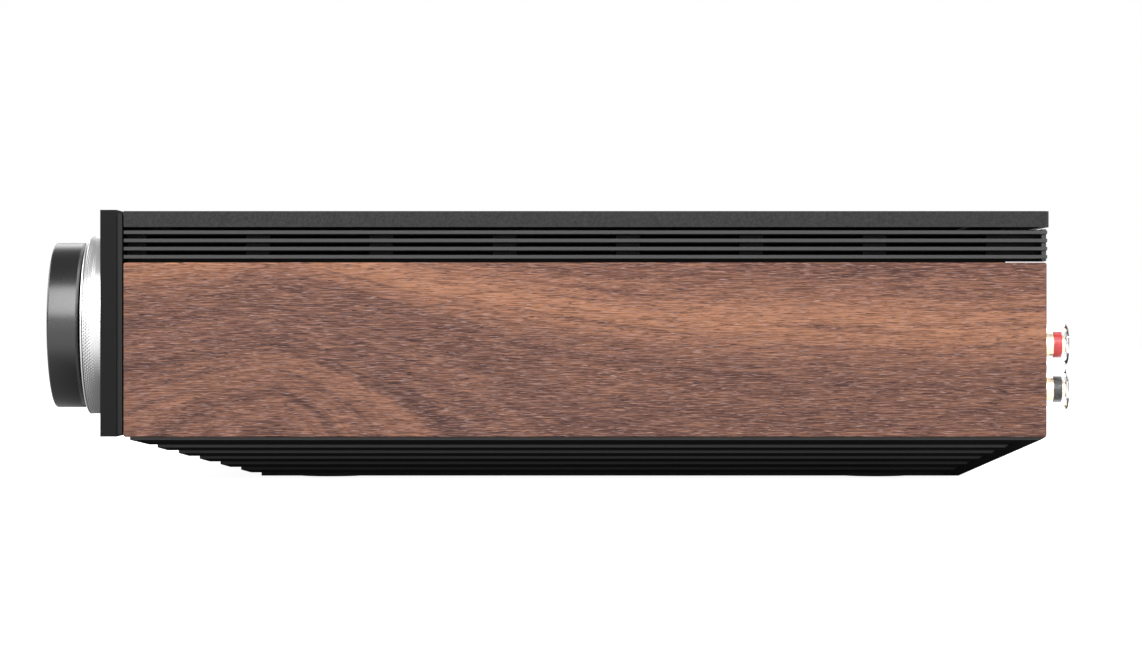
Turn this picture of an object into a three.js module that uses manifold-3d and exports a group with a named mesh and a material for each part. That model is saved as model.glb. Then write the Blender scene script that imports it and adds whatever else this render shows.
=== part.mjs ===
// Compact stereo integrated amplifier with wooden cheeks and a large control knob.
// Millimetres, +Z up. X is the width, -Y is the front and +Y is the rear.
// The origin is the middle of the bottom of the whole object's bounding box.

import * as THREE from 'three';
import { mergeVertices } from 'three/addons/utils/BufferGeometryUtils.js';
import Module from 'manifold-3d';

const wasm = await Module();
wasm.setup();

// ---------------------------------------------------------------- driving dimensions

const FIT = 0.3; // clearance round anything that turns, slides or drops in
const SIDES = { knob: 48, large: 28, round: 20, small: 12 }; // facets of round pieces

// The body: the box that the cheeks, vents and cover make behind the fascia.
const BODY = { half: 158.5, front: -146.4, rear: 165.3, bottom: 15.3, top: 91.6 };

// The base is an upside-down flight of steps, with a smooth bevelled rear end.
const PLINTH = {
  bottom: 0.6,
  inset: 2.0,
  riser: 1.05,
  first: { run: 8.4, drop: 2.8, slope: 5.9 },
  next: { run: 6.55, drop: 2.13, slope: 3.2 },
  steps: 7,
  bevelRun: 1.733, // how far the rear bevel runs for each millimetre of height
  smoothEnd: 6,
  pocketFloor: 4.0,
  pocketInset: 14,
};
const FOOT = { radius: 12, height: 2.6, round: 0.6, x: 95, ys: [-80, 112] };

const FASCIA = { half: 158.5, front: -154.25, rear: -148.7, bottom: 15.4, top: 92.0 };
const SUB_FASCIA = { half: 157.5, front: -148.7, rear: -146.9, bottom: 16.0, top: 90.75 };
const CHEEK = { thickness: 12, top: 74.2, corner: 0.5, bevel: 0.3 };
const COVER = { half: 158, rear: 166.3, plate: 2, lip: 2.5, bottom: 86.2, corner: 2.5 };
const COVER_SLOTS = { width: 2.6, length: 64, pitch: 8, count: 14, centres: [[-66, -20], [66, -20]] };
const RAIL = {
  wall: 2.2, wallX: 145, tip: 157.5, rear: 165.6, top: 85.5,
  ribs: 4, rib: 1.15, pitch: 2.76, firstRib: 75.6, undercut: 0.5,
  end: { thickness: 1.5, behindTips: 0.3, insideTips: 0.5 },
};
const RAIL_SLOTS = { length: 34, pitch: 42, count: 7, height: 1.2 };

const SHEET = 1.2; // steel sheet of the chassis
const FLOOR = { half: 146, rear: 152.6, top: BODY.bottom + SHEET };
const BAFFLE = { x: 139, front: -141.5, top: 85.5 }; // the part of each wall behind the vents
const PANEL = { face: 152.6, shoulder: 74, upperHalf: 144.7, top: 89.3 };

const WINDOW = { x: -20, z: 53.7, width: 110, height: 46, depth: 2.65, ledge: 4, corner: 2 };
const GLASS = { thickness: 2, recess: 0.4 };
const DISPLAY = { margin: 1, frame: 2, recess: 0.6 };
const KNOB = { x: 106, z: 53.1, capRadius: 28.8, ringRadius: 31.1, front: -175.7 };
const CAP = { back: -165, guide: 5.9, guideLength: 3.5, dish: 0.5, edge: 0.5, chamfer: 0.8 };
const RING = { front: -164, round: 0.5, shaft: 3, shaftEnd: -137 };
const SHAFT_HOLE = 4.8;
const BUTTON = { proud: 1.4, round: 0.6, collar: 1.4, collarBack: -149.9, stem: 2, travel: 0.9 };
const BUTTONS = [
  { name: 'standby_button', x: -135, z: 68, radius: 6.5 },
  { name: 'function_button_1', x: 52, z: 69.1, radius: 4.5 },
  { name: 'function_button_2', x: 52, z: 53.1, radius: 4.5 },
  { name: 'function_button_3', x: 52, z: 37.1, radius: 4.5 },
];
const HEADPHONE = { x: -135, z: 38, flange: 5.6, lip: 1, barrel: 4.3, bore: 1.8, end: -132, wall: 2 };

const BOARD = 1.6; // thickness of a circuit board
const BOARD_LEVEL = 24; // underside of the boards that stand on the floor
const DIGITAL_LEVEL = 55.4; // underside of the raised board behind the digital sockets
const FRONT_BOARD = { half: 142, front: -143.7, bottom: 24, top: 82 };
const ENCODER = { size: 14, depth: 7, bush: 4.5, bushFront: -152, bore: 3.4 };

const POST = {
  xs: [-130.5, 130.5],
  levels: { negative: 31.0, positive: 46.4 },
  flange: { radius: 7.5, depth: 2.8 },
  neck: { radius: 4.0, back: 144 },
  stud: { radius: 2.6, end: 168 },
  insert: { radius: 4.4, bore: 2.95, plug: 2.05, front: 156, end: 174.9, shoulder: 170 },
  sleeve: { radius: 6.9, round: 0.8, bore: 4.7, mouth: 2.6, end: 175.7, lip: 0.5 },
};
const INLET = {
  x: -92, z: 40, flange: [30, 23], body: [26.8, 19.6], flangeDepth: 2.5,
  back: 131, cavity: [24.2, 16.2], cavityBack: 138.5, chamfer: 4.5,
};
const SWITCH = { x: -60, z: 40, flange: [15, 29], body: [12.4, 26.6], flangeDepth: 1.5, back: 130 };
const ROCKER = {
  pivotY: 149.5, halfLength: 10, halfWidth: 4.3, height: 5.2, valley: 3.6, belly: 7, keel: 2, tilt: 10,
};
const RCA = {
  x: 70, z: 40, flange: [62, 34], body: [59.4, 31.4], flangeDepth: 1.5, back: 136,
  barrel: 4.1, bore: 1.7, barrelEnd: 163, columns: [-19, 0, 19], rows: [-7.5, 7.5],
};
const PORT = { z: 66, height: 17.2, back: 134, face: 153.4, cavityBack: 139 };
const PORTS = [
  { name: 'lan_socket', width: 19.4, cavity: [11.8, 8.2] },
  { name: 'usb_socket', width: 19.4, cavity: [13.2, 5.8] },
  { name: 'hdmi_socket', width: 19.4, cavity: [14.2, 4.9] },
  { name: 'optical_socket', width: 13.4, cavity: [7.6, 7.6], cavityBack: 151.8 },
];

const TRANSFORMER = { x: -88, y: 0, radius: 46, hole: 10, height: 40, round: 8 };
const WASHER = { radius: 30, thickness: 1.5, hole: 3.4 };
const BOLT = { shank: 3, head: 6, height: 4, sides: 6 };
const CAPACITOR = { radius: 15, height: 40, groove: 34, grooveDepth: 0.8, x: -22, ys: [-15, 20] };
const HEATSINK = { base: 5, x0: 72, x1: 138, y0: -95, y1: 60, top: 60, fin: 2.2, pitch: 9.2 };
const SHIELD = { x: 28, y0: 82, y1: 124, height: 6 };
const BOSS_RADIUS = 3;

const FLOOR_BOARDS = [
  { name: 'power_board', x: [-141, -46], y: [64, 128], level: BOARD_LEVEL },
  { name: 'amplifier_board', x: [-38, 60], y: [-80, 52], level: BOARD_LEVEL },
  { name: 'input_board', x: [44, 118], y: [84, 134], level: BOARD_LEVEL },
  { name: 'digital_board', x: [-40, 38], y: [76, 150], level: DIGITAL_LEVEL, bossY: [80, 128] },
];

// ---------------------------------------------------------------- materials

const finish = (color, roughness, metalness, extra = {}) => new THREE.MeshStandardMaterial({
  color, roughness, metalness, ...extra,
});

const MATERIALS = {
  walnut: finish(0x8a5f4c, 0.55, 0),
  blackPaint: finish(0x2b2c2c, 0.6, 0.2),
  blackPlastic: finish(0x151616, 0.5, 0),
  anodised: finish(0x3a3b3c, 0.35, 0.8),
  silver: finish(0xc9cacb, 0.3, 1),
  steel: finish(0x9a9c9e, 0.4, 1),
  gold: finish(0xc9a24b, 0.25, 1),
  rubber: finish(0x101010, 0.9, 0),
  glass: finish(0x0c0e11, 0.08, 0),
  clear: finish(0xdfe3e6, 0.1, 0, { transparent: true, opacity: 0.4 }),
  circuit: finish(0x1c4a2f, 0.6, 0),
  copper: finish(0x9b5a2e, 0.4, 0.6),
};

// ---------------------------------------------------------------- shape helpers

function toSolid(geometry) {
  const bare = geometry.clone();
  bare.deleteAttribute('normal');
  bare.deleteAttribute('uv');
  const merged = mergeVertices(bare, 1e-4);
  const corners = [];
  const index = merged.index.array;
  for (let i = 0; i < index.length; i += 3) {
    const [a, b, c] = index.subarray(i, i + 3);
    if (a !== b && b !== c && c !== a) corners.push(a, b, c);
  }
  return new wasm.Manifold(new wasm.Mesh({
    numProp: 3,
    vertProperties: merged.attributes.position.array,
    triVerts: new Uint32Array(corners),
  }));
}

function toGeometry(solid) {
  const mesh = solid.getMesh();
  const geometry = new THREE.BufferGeometry();
  geometry.setAttribute('position', new THREE.BufferAttribute(mesh.vertProperties, 3));
  geometry.setIndex(new THREE.BufferAttribute(mesh.triVerts, 1));
  return geometry;
}

const join = (...pieces) => toGeometry(pieces.map(toSolid).reduce((a, b) => a.add(b)));
const cut = (piece, ...tools) => (
  toGeometry(tools.map(toSolid).reduce((a, b) => a.subtract(b), toSolid(piece)))
);
const overlap = (a, b) => toGeometry(toSolid(a).intersect(toSolid(b)));

// A box between two corners.
function block([x0, x1], [y0, y1], [z0, z1]) {
  const box = new THREE.BoxGeometry(x1 - x0, y1 - y0, z1 - z0);
  return box.translate((x0 + x1) / 2, (y0 + y1) / 2, (z0 + z1) / 2);
}

// A span of X on the right side (side > 0), or its mirror image on the left.
const mirrored = (side, from, to) => (side < 0 ? [-to, -from] : [from, to]);

// A box of the given [width, height] centred on (x, z), between two depths.
function plate(x, z, [width, height], depths) {
  return block([x - width / 2, x + width / 2], depths, [z - height / 2, z + height / 2]);
}

// A block whose top and bottom faces may differ: { half, front, rear, z } each.
function tapered(bottom, top) {
  const geometry = new THREE.BoxGeometry(2, 2, 2);
  const position = geometry.attributes.position;
  for (let i = 0; i < position.count; i += 1) {
    const level = position.getZ(i) > 0 ? top : bottom;
    const y = position.getY(i) > 0 ? level.rear : level.front;
    position.setXYZ(i, Math.sign(position.getX(i)) * level.half, y, level.z);
  }
  return geometry;
}

const outline = (points) => new THREE.Shape(points.map(([u, v]) => new THREE.Vector2(u, v)));

const AXES = {
  x: new THREE.Vector3(1, 0, 0),
  y: new THREE.Vector3(0, 1, 0),
  z: new THREE.Vector3(0, 0, 1),
};

// An outline in the YZ plane, extruded along X.
function extrudeX(shape, [x0, x1], options = {}) {
  const solid = new THREE.ExtrudeGeometry(shape, { depth: x1 - x0, bevelEnabled: false, ...options });
  solid.applyMatrix4(new THREE.Matrix4().makeBasis(AXES.y, AXES.z, AXES.x));
  return solid.translate(x0, 0, 0);
}

// An outline in the XZ plane, extruded along Y.
function extrudeY(shape, [y0, y1]) {
  const solid = new THREE.ExtrudeGeometry(shape, { depth: y1 - y0, bevelEnabled: false, curveSegments: 3 });
  solid.applyMatrix4(new THREE.Matrix4().makeBasis(AXES.x, AXES.z, AXES.y.clone().negate()));
  return solid.translate(0, y1, 0);
}

// An outline in the XY plane, extruded along Z.
function extrudeZ(shape, [z0, z1], options = {}) {
  const solid = new THREE.ExtrudeGeometry(shape, { depth: z1 - z0, bevelEnabled: false, ...options });
  return solid.translate(0, 0, z0);
}

// A turned piece about a line parallel to Y, from [radius, y] points.
function turnedY(points, x, z, segments) {
  const profile = points.map(([radius, y]) => new THREE.Vector2(radius, y));
  return new THREE.LatheGeometry(profile, segments).translate(x, 0, z);
}

// A turned piece about a line parallel to Z, from [radius, z] points.
function turnedZ(points, x, y, segments) {
  const profile = points.map(([radius, height]) => new THREE.Vector2(radius, height));
  return new THREE.LatheGeometry(profile, segments).rotateX(Math.PI / 2).translate(x, y, 0);
}

const rodY = (radius, [y0, y1], x, z, segments = SIDES.round) => (
  turnedY([[0, y0], [radius, y0], [radius, y1], [0, y1]], x, z, segments)
);
const rodZ = (radius, [z0, z1], x, y, segments = SIDES.round) => (
  turnedZ([[0, z0], [radius, z0], [radius, z1], [0, z1]], x, y, segments)
);

// A rectangle with rounded corners, centred on (u, v).
function roundedRectangle(u, v, width, height, radius) {
  const shape = new THREE.Shape();
  const [right, top] = [width / 2 - radius, height / 2 - radius];
  const corners = [[right, top, 0], [-right, top, 1], [-right, -top, 2], [right, -top, 3]];
  for (const [du, dv, quarter] of corners) {
    const start = quarter * Math.PI / 2;
    shape.absarc(u + du, v + dv, radius, start, start + Math.PI / 2);
  }
  return shape;
}

const assembly = new THREE.Group();

function add(name, geometry, material) {
  const mesh = new THREE.Mesh(geometry, material);
  mesh.name = name;
  assembly.add(mesh);
  return mesh;
}

// ---------------------------------------------------------------- base and feet

const bevelY = (z) => BODY.rear - (BODY.bottom - z) * PLINTH.bevelRun;

// A horizontal slice of the base: its sides and front are inset, its rear is set by the caller.
const slice = (inset, z, rear) => ({ half: BODY.half - inset, front: BODY.front + inset, rear, z });

// Everything behind a line parallel to the rear bevel.
function behindBevel(offset) {
  const [low, high, far] = [-5, 25, 220];
  const points = [[bevelY(low) + offset, low], [far, low], [far, high], [bevelY(high) + offset, high]];
  return extrudeX(outline(points), [-2 * BODY.half, 2 * BODY.half]);
}

function plinthSteps() {
  const pieces = [];
  let inset = PLINTH.inset;
  let z = BODY.bottom;
  for (let step = 0; step < PLINTH.steps; step += 1) {
    const size = step === 0 ? PLINTH.first : PLINTH.next;
    const last = step === PLINTH.steps - 1;
    const riserEnd = last ? PLINTH.bottom : z - PLINTH.riser;
    pieces.push(tapered(slice(inset, riserEnd, BODY.rear), slice(inset, BODY.bottom, BODY.rear)));
    if (!last) {
      const foot = slice(inset + size.slope, z - size.drop, BODY.rear);
      pieces.push(tapered(foot, slice(inset, riserEnd, BODY.rear)));
      inset += size.run;
      z -= size.drop;
    }
  }
  return { body: join(...pieces), innerInset: inset };
}

function basePlinth() {
  const steps = plinthSteps();
  const shoulder = BODY.bottom - PLINTH.riser;
  const smooth = join(
    tapered(slice(PLINTH.inset, shoulder, BODY.rear), slice(PLINTH.inset, BODY.bottom, BODY.rear)),
    tapered(slice(steps.innerInset, PLINTH.bottom, BODY.rear), slice(PLINTH.inset, shoulder, BODY.rear)),
  );
  const smoothEnd = overlap(smooth, behindBevel(-PLINTH.smoothEnd - FIT));
  const whole = join(cut(steps.body, behindBevel(-PLINTH.smoothEnd)), smoothEnd);
  const slopeRun = (steps.innerInset - PLINTH.inset) / (shoulder - PLINTH.bottom);
  const above = BODY.bottom + 1;
  const pocketBottomInset = PLINTH.pocketInset + (above - PLINTH.pocketFloor) * slopeRun;
  const pocket = tapered(
    slice(pocketBottomInset, PLINTH.pocketFloor, bevelY(PLINTH.pocketFloor) - PLINTH.pocketInset),
    slice(PLINTH.pocketInset, above, bevelY(above) - PLINTH.pocketInset),
  );
  const recesses = footPlaces().map(({ x, y }) => (
    rodZ(FOOT.radius + FIT, [-1, FOOT.height + FIT], x, y, SIDES.large)
  ));
  return cut(whole, behindBevel(0), pocket, ...recesses);
}

function footPlaces() {
  return FOOT.ys.flatMap((y) => [-FOOT.x, FOOT.x].map((x) => ({ x, y })));
}

function foot({ x, y }) {
  const { radius, height, round } = FOOT;
  return turnedZ(
    [[0, 0], [radius - round, 0], [radius, round], [radius, height], [0, height]],
    x, y, SIDES.large,
  );
}

// ---------------------------------------------------------------- chassis

// Two bosses on each of two rows near a board's edges.
function bossPlaces(board) {
  const margin = 5;
  const xs = [board.x[0] + margin, board.x[1] - margin];
  const ys = board.bossY ?? [board.y[0] + margin, board.y[1] - margin];
  return xs.flatMap((x) => ys.map((y) => ({ x, y })));
}

function chassisFloor() {
  const sheet = block([-FLOOR.half, FLOOR.half], [BODY.front, FLOOR.rear], [BODY.bottom, FLOOR.top]);
  const bosses = FLOOR_BOARDS.flatMap((board) => bossPlaces(board).map(({ x, y }) => (
    rodZ(BOSS_RADIUS, [FLOOR.top - FIT, board.level - FIT], x, y, SIDES.small)
  )));
  return join(sheet, ...bosses);
}

// A sheet wall that steps inwards above the cheek and stands up again behind the vent slots.
function chassisWall(side) {
  const rear = PANEL.face - SHEET;
  const shelf = CHEEK.top - SHEET;
  return join(
    block(mirrored(side, FLOOR.half - SHEET, FLOOR.half), [BODY.front, rear], [FLOOR.top, CHEEK.top]),
    block(mirrored(side, BAFFLE.x, FLOOR.half), [BAFFLE.front, rear], [shelf, CHEEK.top]),
    block(mirrored(side, BAFFLE.x, BAFFLE.x + SHEET), [BAFFLE.front, rear], [shelf, BAFFLE.top]),
  );
}

function rearPanel() {
  const points = [
    [-FLOOR.half, FLOOR.top], [FLOOR.half, FLOOR.top], [FLOOR.half, PANEL.shoulder],
    [PANEL.upperHalf, PANEL.shoulder], [PANEL.upperHalf, PANEL.top],
    [-PANEL.upperHalf, PANEL.top], [-PANEL.upperHalf, PANEL.shoulder], [-FLOOR.half, PANEL.shoulder],
  ];
  const sheet = extrudeY(outline(points), [PANEL.face - SHEET, PANEL.face]);
  const through = [PANEL.face - 3 * SHEET, PANEL.face + SHEET];
  const loose = ([width, height]) => [width + 2 * FIT, height + 2 * FIT];
  const rectangular = [INLET, SWITCH, RCA].map(({ x, z, body }) => plate(x, z, loose(body), through));
  const portSlot = plate(0, PORT.z, loose([portRowWidth(), PORT.height]), through);
  const postHoles = postPlaces().map(({ x, z }) => rodY(POST.neck.radius + FIT, through, x, z));
  return cut(sheet, ...rectangular, portSlot, ...postHoles);
}

// ---------------------------------------------------------------- outer casing

function cheek(side) {
  const { corner, bevel, thickness, top } = CHEEK;
  const length = BODY.rear - BODY.front;
  const shape = roundedRectangle(
    (BODY.front + BODY.rear) / 2,
    (BODY.bottom + top) / 2,
    length - 2 * bevel,
    top - BODY.bottom - 2 * bevel,
    corner,
  );
  const depths = mirrored(side, BODY.half - thickness + bevel, BODY.half - bevel);
  return extrudeX(shape, depths, {
    bevelEnabled: true,
    bevelThickness: bevel,
    bevelSize: bevel,
    bevelSegments: 1,
    curveSegments: 3,
  });
}

// The web that closes the gaps between the ribs at the rear.
function railEnd(side) {
  const { thickness, behindTips, insideTips } = RAIL.end;
  const rear = RAIL.rear - behindTips;
  return block(
    mirrored(side, RAIL.wallX, RAIL.tip - insideTips),
    [rear - thickness, rear],
    [CHEEK.top, RAIL.top],
  );
}

// The wall with its outward ribs, as one comb-shaped extrusion with vent slots between the ribs.
// Behind the rear panel its lower edge stands clear of the cheek.
function ventRail(side) {
  const outerWall = RAIL.wallX + RAIL.wall;
  const points = [[RAIL.wallX, CHEEK.top], [outerWall, CHEEK.top]];
  for (let rib = 0; rib < RAIL.ribs; rib += 1) {
    const z = RAIL.firstRib + rib * RAIL.pitch;
    points.push([outerWall, z], [RAIL.tip, z], [RAIL.tip, z + RAIL.rib], [outerWall, z + RAIL.rib]);
  }
  points.push([outerWall, RAIL.top], [RAIL.wallX, RAIL.top]);
  const comb = extrudeY(outline(points.map(([x, z]) => [side * x, z])), [BODY.front, RAIL.rear]);
  const undercut = block(
    mirrored(side, RAIL.wallX - 1, RAIL.tip + 1),
    [PANEL.face, RAIL.rear + 1],
    [CHEEK.top - 1, CHEEK.top + RAIL.undercut],
  );
  const slots = [];
  const middle = (BODY.front + PANEL.face) / 2;
  for (let gap = 0; gap < RAIL.ribs - 1; gap += 1) {
    const z = RAIL.firstRib + RAIL.rib + gap * RAIL.pitch + (RAIL.pitch - RAIL.rib) / 2;
    for (let i = 0; i < RAIL_SLOTS.count; i += 1) {
      const y = middle + (i - (RAIL_SLOTS.count - 1) / 2) * RAIL_SLOTS.pitch;
      slots.push(block(
        mirrored(side, RAIL.wallX - 1, outerWall + 1),
        [y - RAIL_SLOTS.length / 2, y + RAIL_SLOTS.length / 2],
        [z - RAIL_SLOTS.height / 2, z + RAIL_SLOTS.height / 2],
      ));
    }
  }
  return cut(join(comb, railEnd(side)), undercut, ...slots);
}

function topCover() {
  const { half, rear, corner, lip, plate: sheet, bottom } = COVER;
  const shape = new THREE.Shape();
  shape.moveTo(-half, BODY.front);
  shape.lineTo(half, BODY.front);
  shape.absarc(half - corner, rear - corner, corner, 0, Math.PI / 2);
  shape.absarc(corner - half, rear - corner, corner, Math.PI / 2, Math.PI);
  const body = extrudeZ(shape, [bottom, BODY.top], { curveSegments: 4 });
  const hollow = block(
    [lip - half, half - lip],
    [BODY.front - 1, rear - lip],
    [bottom - 1, BODY.top - sheet],
  );
  const slots = COVER_SLOTS.centres.flatMap(([x, y]) => (
    Array.from({ length: COVER_SLOTS.count }, (_, i) => {
      const slotY = y + (i - (COVER_SLOTS.count - 1) / 2) * COVER_SLOTS.pitch;
      return block(
        [x - COVER_SLOTS.length / 2, x + COVER_SLOTS.length / 2],
        [slotY - COVER_SLOTS.width / 2, slotY + COVER_SLOTS.width / 2],
        [bottom, BODY.top + 1],
      );
    })
  ));
  return cut(body, hollow, ...slots);
}

// ---------------------------------------------------------------- fascia

function windowHole(shrink, depths) {
  const shape = roundedRectangle(
    WINDOW.x, WINDOW.z, WINDOW.width - 2 * shrink, WINDOW.height - 2 * shrink, WINDOW.corner,
  );
  return extrudeY(shape, depths);
}

function fascia() {
  const { half, front, rear, bottom, top } = FASCIA;
  const body = block([-half, half], [front, rear], [bottom, top]);
  const [before, after] = [front - 1, rear + 1];
  const collarSeat = BUTTON.collarBack - BUTTON.collar;
  const buttonHoles = BUTTONS.flatMap(({ x, z, radius }) => [
    rodY(radius + FIT, [before, after], x, z),
    rodY(radius + BUTTON.collar + FIT, [collarSeat, after], x, z),
  ]);
  return cut(
    body,
    windowHole(0, [before, front + WINDOW.depth]),
    windowHole(WINDOW.ledge, [before, after]),
    ...buttonHoles,
    rodY(SHAFT_HOLE, [before, after], KNOB.x, KNOB.z),
    rodY(HEADPHONE.barrel + FIT, [before, after], HEADPHONE.x, HEADPHONE.z),
  );
}

function subFascia() {
  const { half, front, rear, bottom, top } = SUB_FASCIA;
  const body = block([-half, half], [front, rear], [bottom, top]);
  const through = [front - 1, rear + 1];
  const stemHoles = BUTTONS.map(({ x, z }) => rodY(BUTTON.stem + FIT, through, x, z, SIDES.small));
  return cut(
    body,
    windowHole(WINDOW.ledge - 1, through),
    ...stemHoles,
    rodY(SHAFT_HOLE, through, KNOB.x, KNOB.z),
    rodY(HEADPHONE.barrel + FIT, through, HEADPHONE.x, HEADPHONE.z),
  );
}

function displayGlass() {
  const shape = roundedRectangle(
    WINDOW.x, WINDOW.z, WINDOW.width - 2 * FIT, WINDOW.height - 2 * FIT, WINDOW.corner - FIT,
  );
  const front = FASCIA.front + GLASS.recess;
  return extrudeY(shape, [front, front + GLASS.thickness]);
}

function displayModule() {
  const { margin, frame, recess } = DISPLAY;
  const width = WINDOW.width - 2 * (WINDOW.ledge + margin);
  const height = WINDOW.height - 2 * (WINDOW.ledge + margin);
  const screen = [width - 2 * frame, height - 2 * frame];
  const front = FASCIA.front + GLASS.recess + GLASS.thickness + FIT;
  const body = plate(WINDOW.x, WINDOW.z, [width, height], [front, FRONT_BOARD.front - FIT]);
  return cut(body, plate(WINDOW.x, WINDOW.z, screen, [front - 1, front + recess]));
}

function headphoneSocket() {
  const { x, z, flange, lip, barrel, bore, end, wall } = HEADPHONE;
  const seat = FASCIA.front;
  const face = seat - lip;
  const boreEnd = end - wall;
  return turnedY(
    [
      [0, boreEnd], [bore, boreEnd], [bore, face], [flange, face], [flange, seat],
      [barrel, seat], [barrel, end], [0, end],
    ],
    x, z, SIDES.round,
  );
}

// ---------------------------------------------------------------- knob and buttons

function quarterRound(centreRadius, centreY, radius, steps) {
  return Array.from({ length: steps + 1 }, (_, i) => {
    const angle = (i / steps) * Math.PI / 2;
    return [centreRadius + radius * Math.sin(angle), centreY - radius * Math.cos(angle)];
  });
}

function controlCap() {
  const { back, guide, guideLength, dish, edge, chamfer } = CAP;
  const dishRim = KNOB.capRadius - 3;
  return turnedY(
    [
      [0, KNOB.front + dish],
      [dishRim - 4, KNOB.front + dish],
      [dishRim, KNOB.front],
      ...quarterRound(KNOB.capRadius - edge, KNOB.front + edge, edge, 2),
      [KNOB.capRadius, back - chamfer],
      [KNOB.capRadius - chamfer, back],
      [guide, back],
      [guide, back + guideLength],
      [0, back + guideLength],
    ],
    KNOB.x, KNOB.z, SIDES.knob,
  );
}

function knobRing() {
  const { front, round, shaft, shaftEnd } = RING;
  const seat = CAP.guide + FIT;
  const seatEnd = CAP.back + CAP.guideLength + 1;
  const back = FASCIA.front - FIT;
  return turnedY(
    [
      [0, seatEnd],
      [seat, seatEnd],
      [seat, front],
      ...quarterRound(KNOB.ringRadius - round, front + round, round, 3),
      [KNOB.ringRadius, back],
      [shaft, back],
      [shaft, shaftEnd],
      [0, shaftEnd],
    ],
    KNOB.x, KNOB.z, SIDES.knob,
  );
}

function volumeEncoder() {
  const { size, depth, bush, bushFront, bore } = ENCODER;
  const boardBack = FRONT_BOARD.front + BOARD;
  const housing = plate(KNOB.x, KNOB.z, [size, size], [boardBack, boardBack + depth]);
  const collar = rodY(bush, [bushFront, boardBack + 1], KNOB.x, KNOB.z);
  return cut(join(housing, collar), rodY(bore, [bushFront - 1, RING.shaftEnd + 1], KNOB.x, KNOB.z));
}

function pushButton({ x, z, radius }) {
  const { proud, round, collar, collarBack, stem, travel } = BUTTON;
  const face = FASCIA.front - proud;
  const collarFront = collarBack - collar + FIT;
  const stemEnd = FRONT_BOARD.front - travel - FIT;
  return turnedY(
    [
      [0, face], [radius - round, face], [radius, face + round], [radius, collarFront],
      [radius + collar, collarFront], [radius + collar, collarBack],
      [stem, collarBack], [stem, stemEnd], [0, stemEnd],
    ],
    x, z, SIDES.round,
  );
}

// ---------------------------------------------------------------- rear connectors

function postPlaces() {
  return POST.xs.flatMap((x) => Object.entries(POST.levels).map(([pole, z]) => ({
    x, z, name: `${x < 0 ? 'left' : 'right'}_${pole}`,
  })));
}

function postBase({ x, z }) {
  const { flange, neck, stud } = POST;
  const shelf = PANEL.face + flange.depth;
  return turnedY(
    [
      [0, neck.back], [neck.radius, neck.back], [neck.radius, PANEL.face], [flange.radius, PANEL.face],
      [flange.radius, shelf], [stud.radius, shelf], [stud.radius, stud.end], [0, stud.end],
    ],
    x, z, SIDES.round,
  );
}

function postInsert({ x, z }) {
  const { radius, bore, plug, front, end, shoulder } = POST.insert;
  return turnedY(
    [
      [bore, front], [radius, front], [radius, end], [plug, end],
      [plug, shoulder], [bore, shoulder], [bore, front],
    ],
    x, z, SIDES.round,
  );
}

function postSleeve({ x, z }) {
  const { radius, round, bore, mouth, end, lip } = POST.sleeve;
  const { front } = POST.insert;
  return turnedY(
    [
      [bore, front], [radius - round, front], [radius, front + round], [radius, end - round],
      [radius - round, end], [mouth, end], [mouth, end - lip], [bore, end - lip], [bore, front],
    ],
    x, z, SIDES.round,
  );
}

// A flange on the panel's face with a narrower body through its cut-out.
function flangedBody({ x, z, flange, body, flangeDepth, back }) {
  return join(
    plate(x, z, flange, [PANEL.face, PANEL.face + flangeDepth]),
    plate(x, z, body, [back, PANEL.face + flangeDepth / 2]),
  );
}

function mainsInlet() {
  const { x, z, cavity: [width, height], chamfer, cavityBack, flangeDepth } = INLET;
  const [left, right, low, high] = [x - width / 2, x + width / 2, z - height / 2, z + height / 2];
  const points = [
    [left, low], [right, low], [right, high - chamfer], [right - chamfer, high],
    [left + chamfer, high], [left, high - chamfer],
  ];
  const cavity = extrudeY(outline(points), [cavityBack, PANEL.face + flangeDepth + 1]);
  return cut(flangedBody(INLET), cavity);
}

function switchFrame() {
  const { x, z, flangeDepth } = SWITCH;
  const width = 2 * (ROCKER.halfWidth + FIT);
  const length = 2 * (ROCKER.halfLength + 1.2);
  const pocketBack = ROCKER.pivotY - ROCKER.belly - 2;
  return cut(flangedBody(SWITCH), plate(x, z, [width, length], [pocketBack, PANEL.face + flangeDepth + 1]));
}

// The rocker is drawn level about its pivot, then tipped to its off position.
function addRocker() {
  const { halfLength, halfWidth, height, valley, belly, keel, tilt, pivotY } = ROCKER;
  const shape = outline([
    [0, -halfLength], [height, -halfLength], [valley, 0], [height, halfLength],
    [0, halfLength], [-belly, keel], [-belly, -keel],
  ]);
  const rocker = add('power_rocker', extrudeX(shape, [-halfWidth, halfWidth]), MATERIALS.blackPlastic);
  rocker.position.set(SWITCH.x, pivotY, SWITCH.z);
  rocker.rotation.x = THREE.MathUtils.degToRad(-tilt);
}

function rcaBlock() {
  const { x, z, columns, rows, barrel, bore, barrelEnd, flangeDepth } = RCA;
  const face = PANEL.face + flangeDepth;
  const places = columns.flatMap((dx) => rows.map((dz) => [x + dx, z + dz]));
  const barrels = places.map(([px, pz]) => rodY(barrel, [face - FIT, barrelEnd], px, pz, SIDES.round));
  const bores = places.map(([px, pz]) => rodY(bore, [face, barrelEnd + 1], px, pz, SIDES.small));
  return cut(join(flangedBody(RCA), ...barrels), ...bores);
}

function portRowWidth() {
  const widths = PORTS.reduce((sum, port) => sum + port.width, 0);
  return widths + FIT * (PORTS.length - 1);
}

function addPorts() {
  let left = -portRowWidth() / 2;
  for (const port of PORTS) {
    const x = left + port.width / 2;
    const body = plate(x, PORT.z, [port.width, PORT.height], [PORT.back, PORT.face]);
    const cavity = plate(x, PORT.z, port.cavity, [port.cavityBack ?? PORT.cavityBack, PORT.face + 1]);
    add(port.name, cut(body, cavity), MATERIALS.blackPlastic);
    left += port.width + FIT;
  }
}

// ---------------------------------------------------------------- inside

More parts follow.
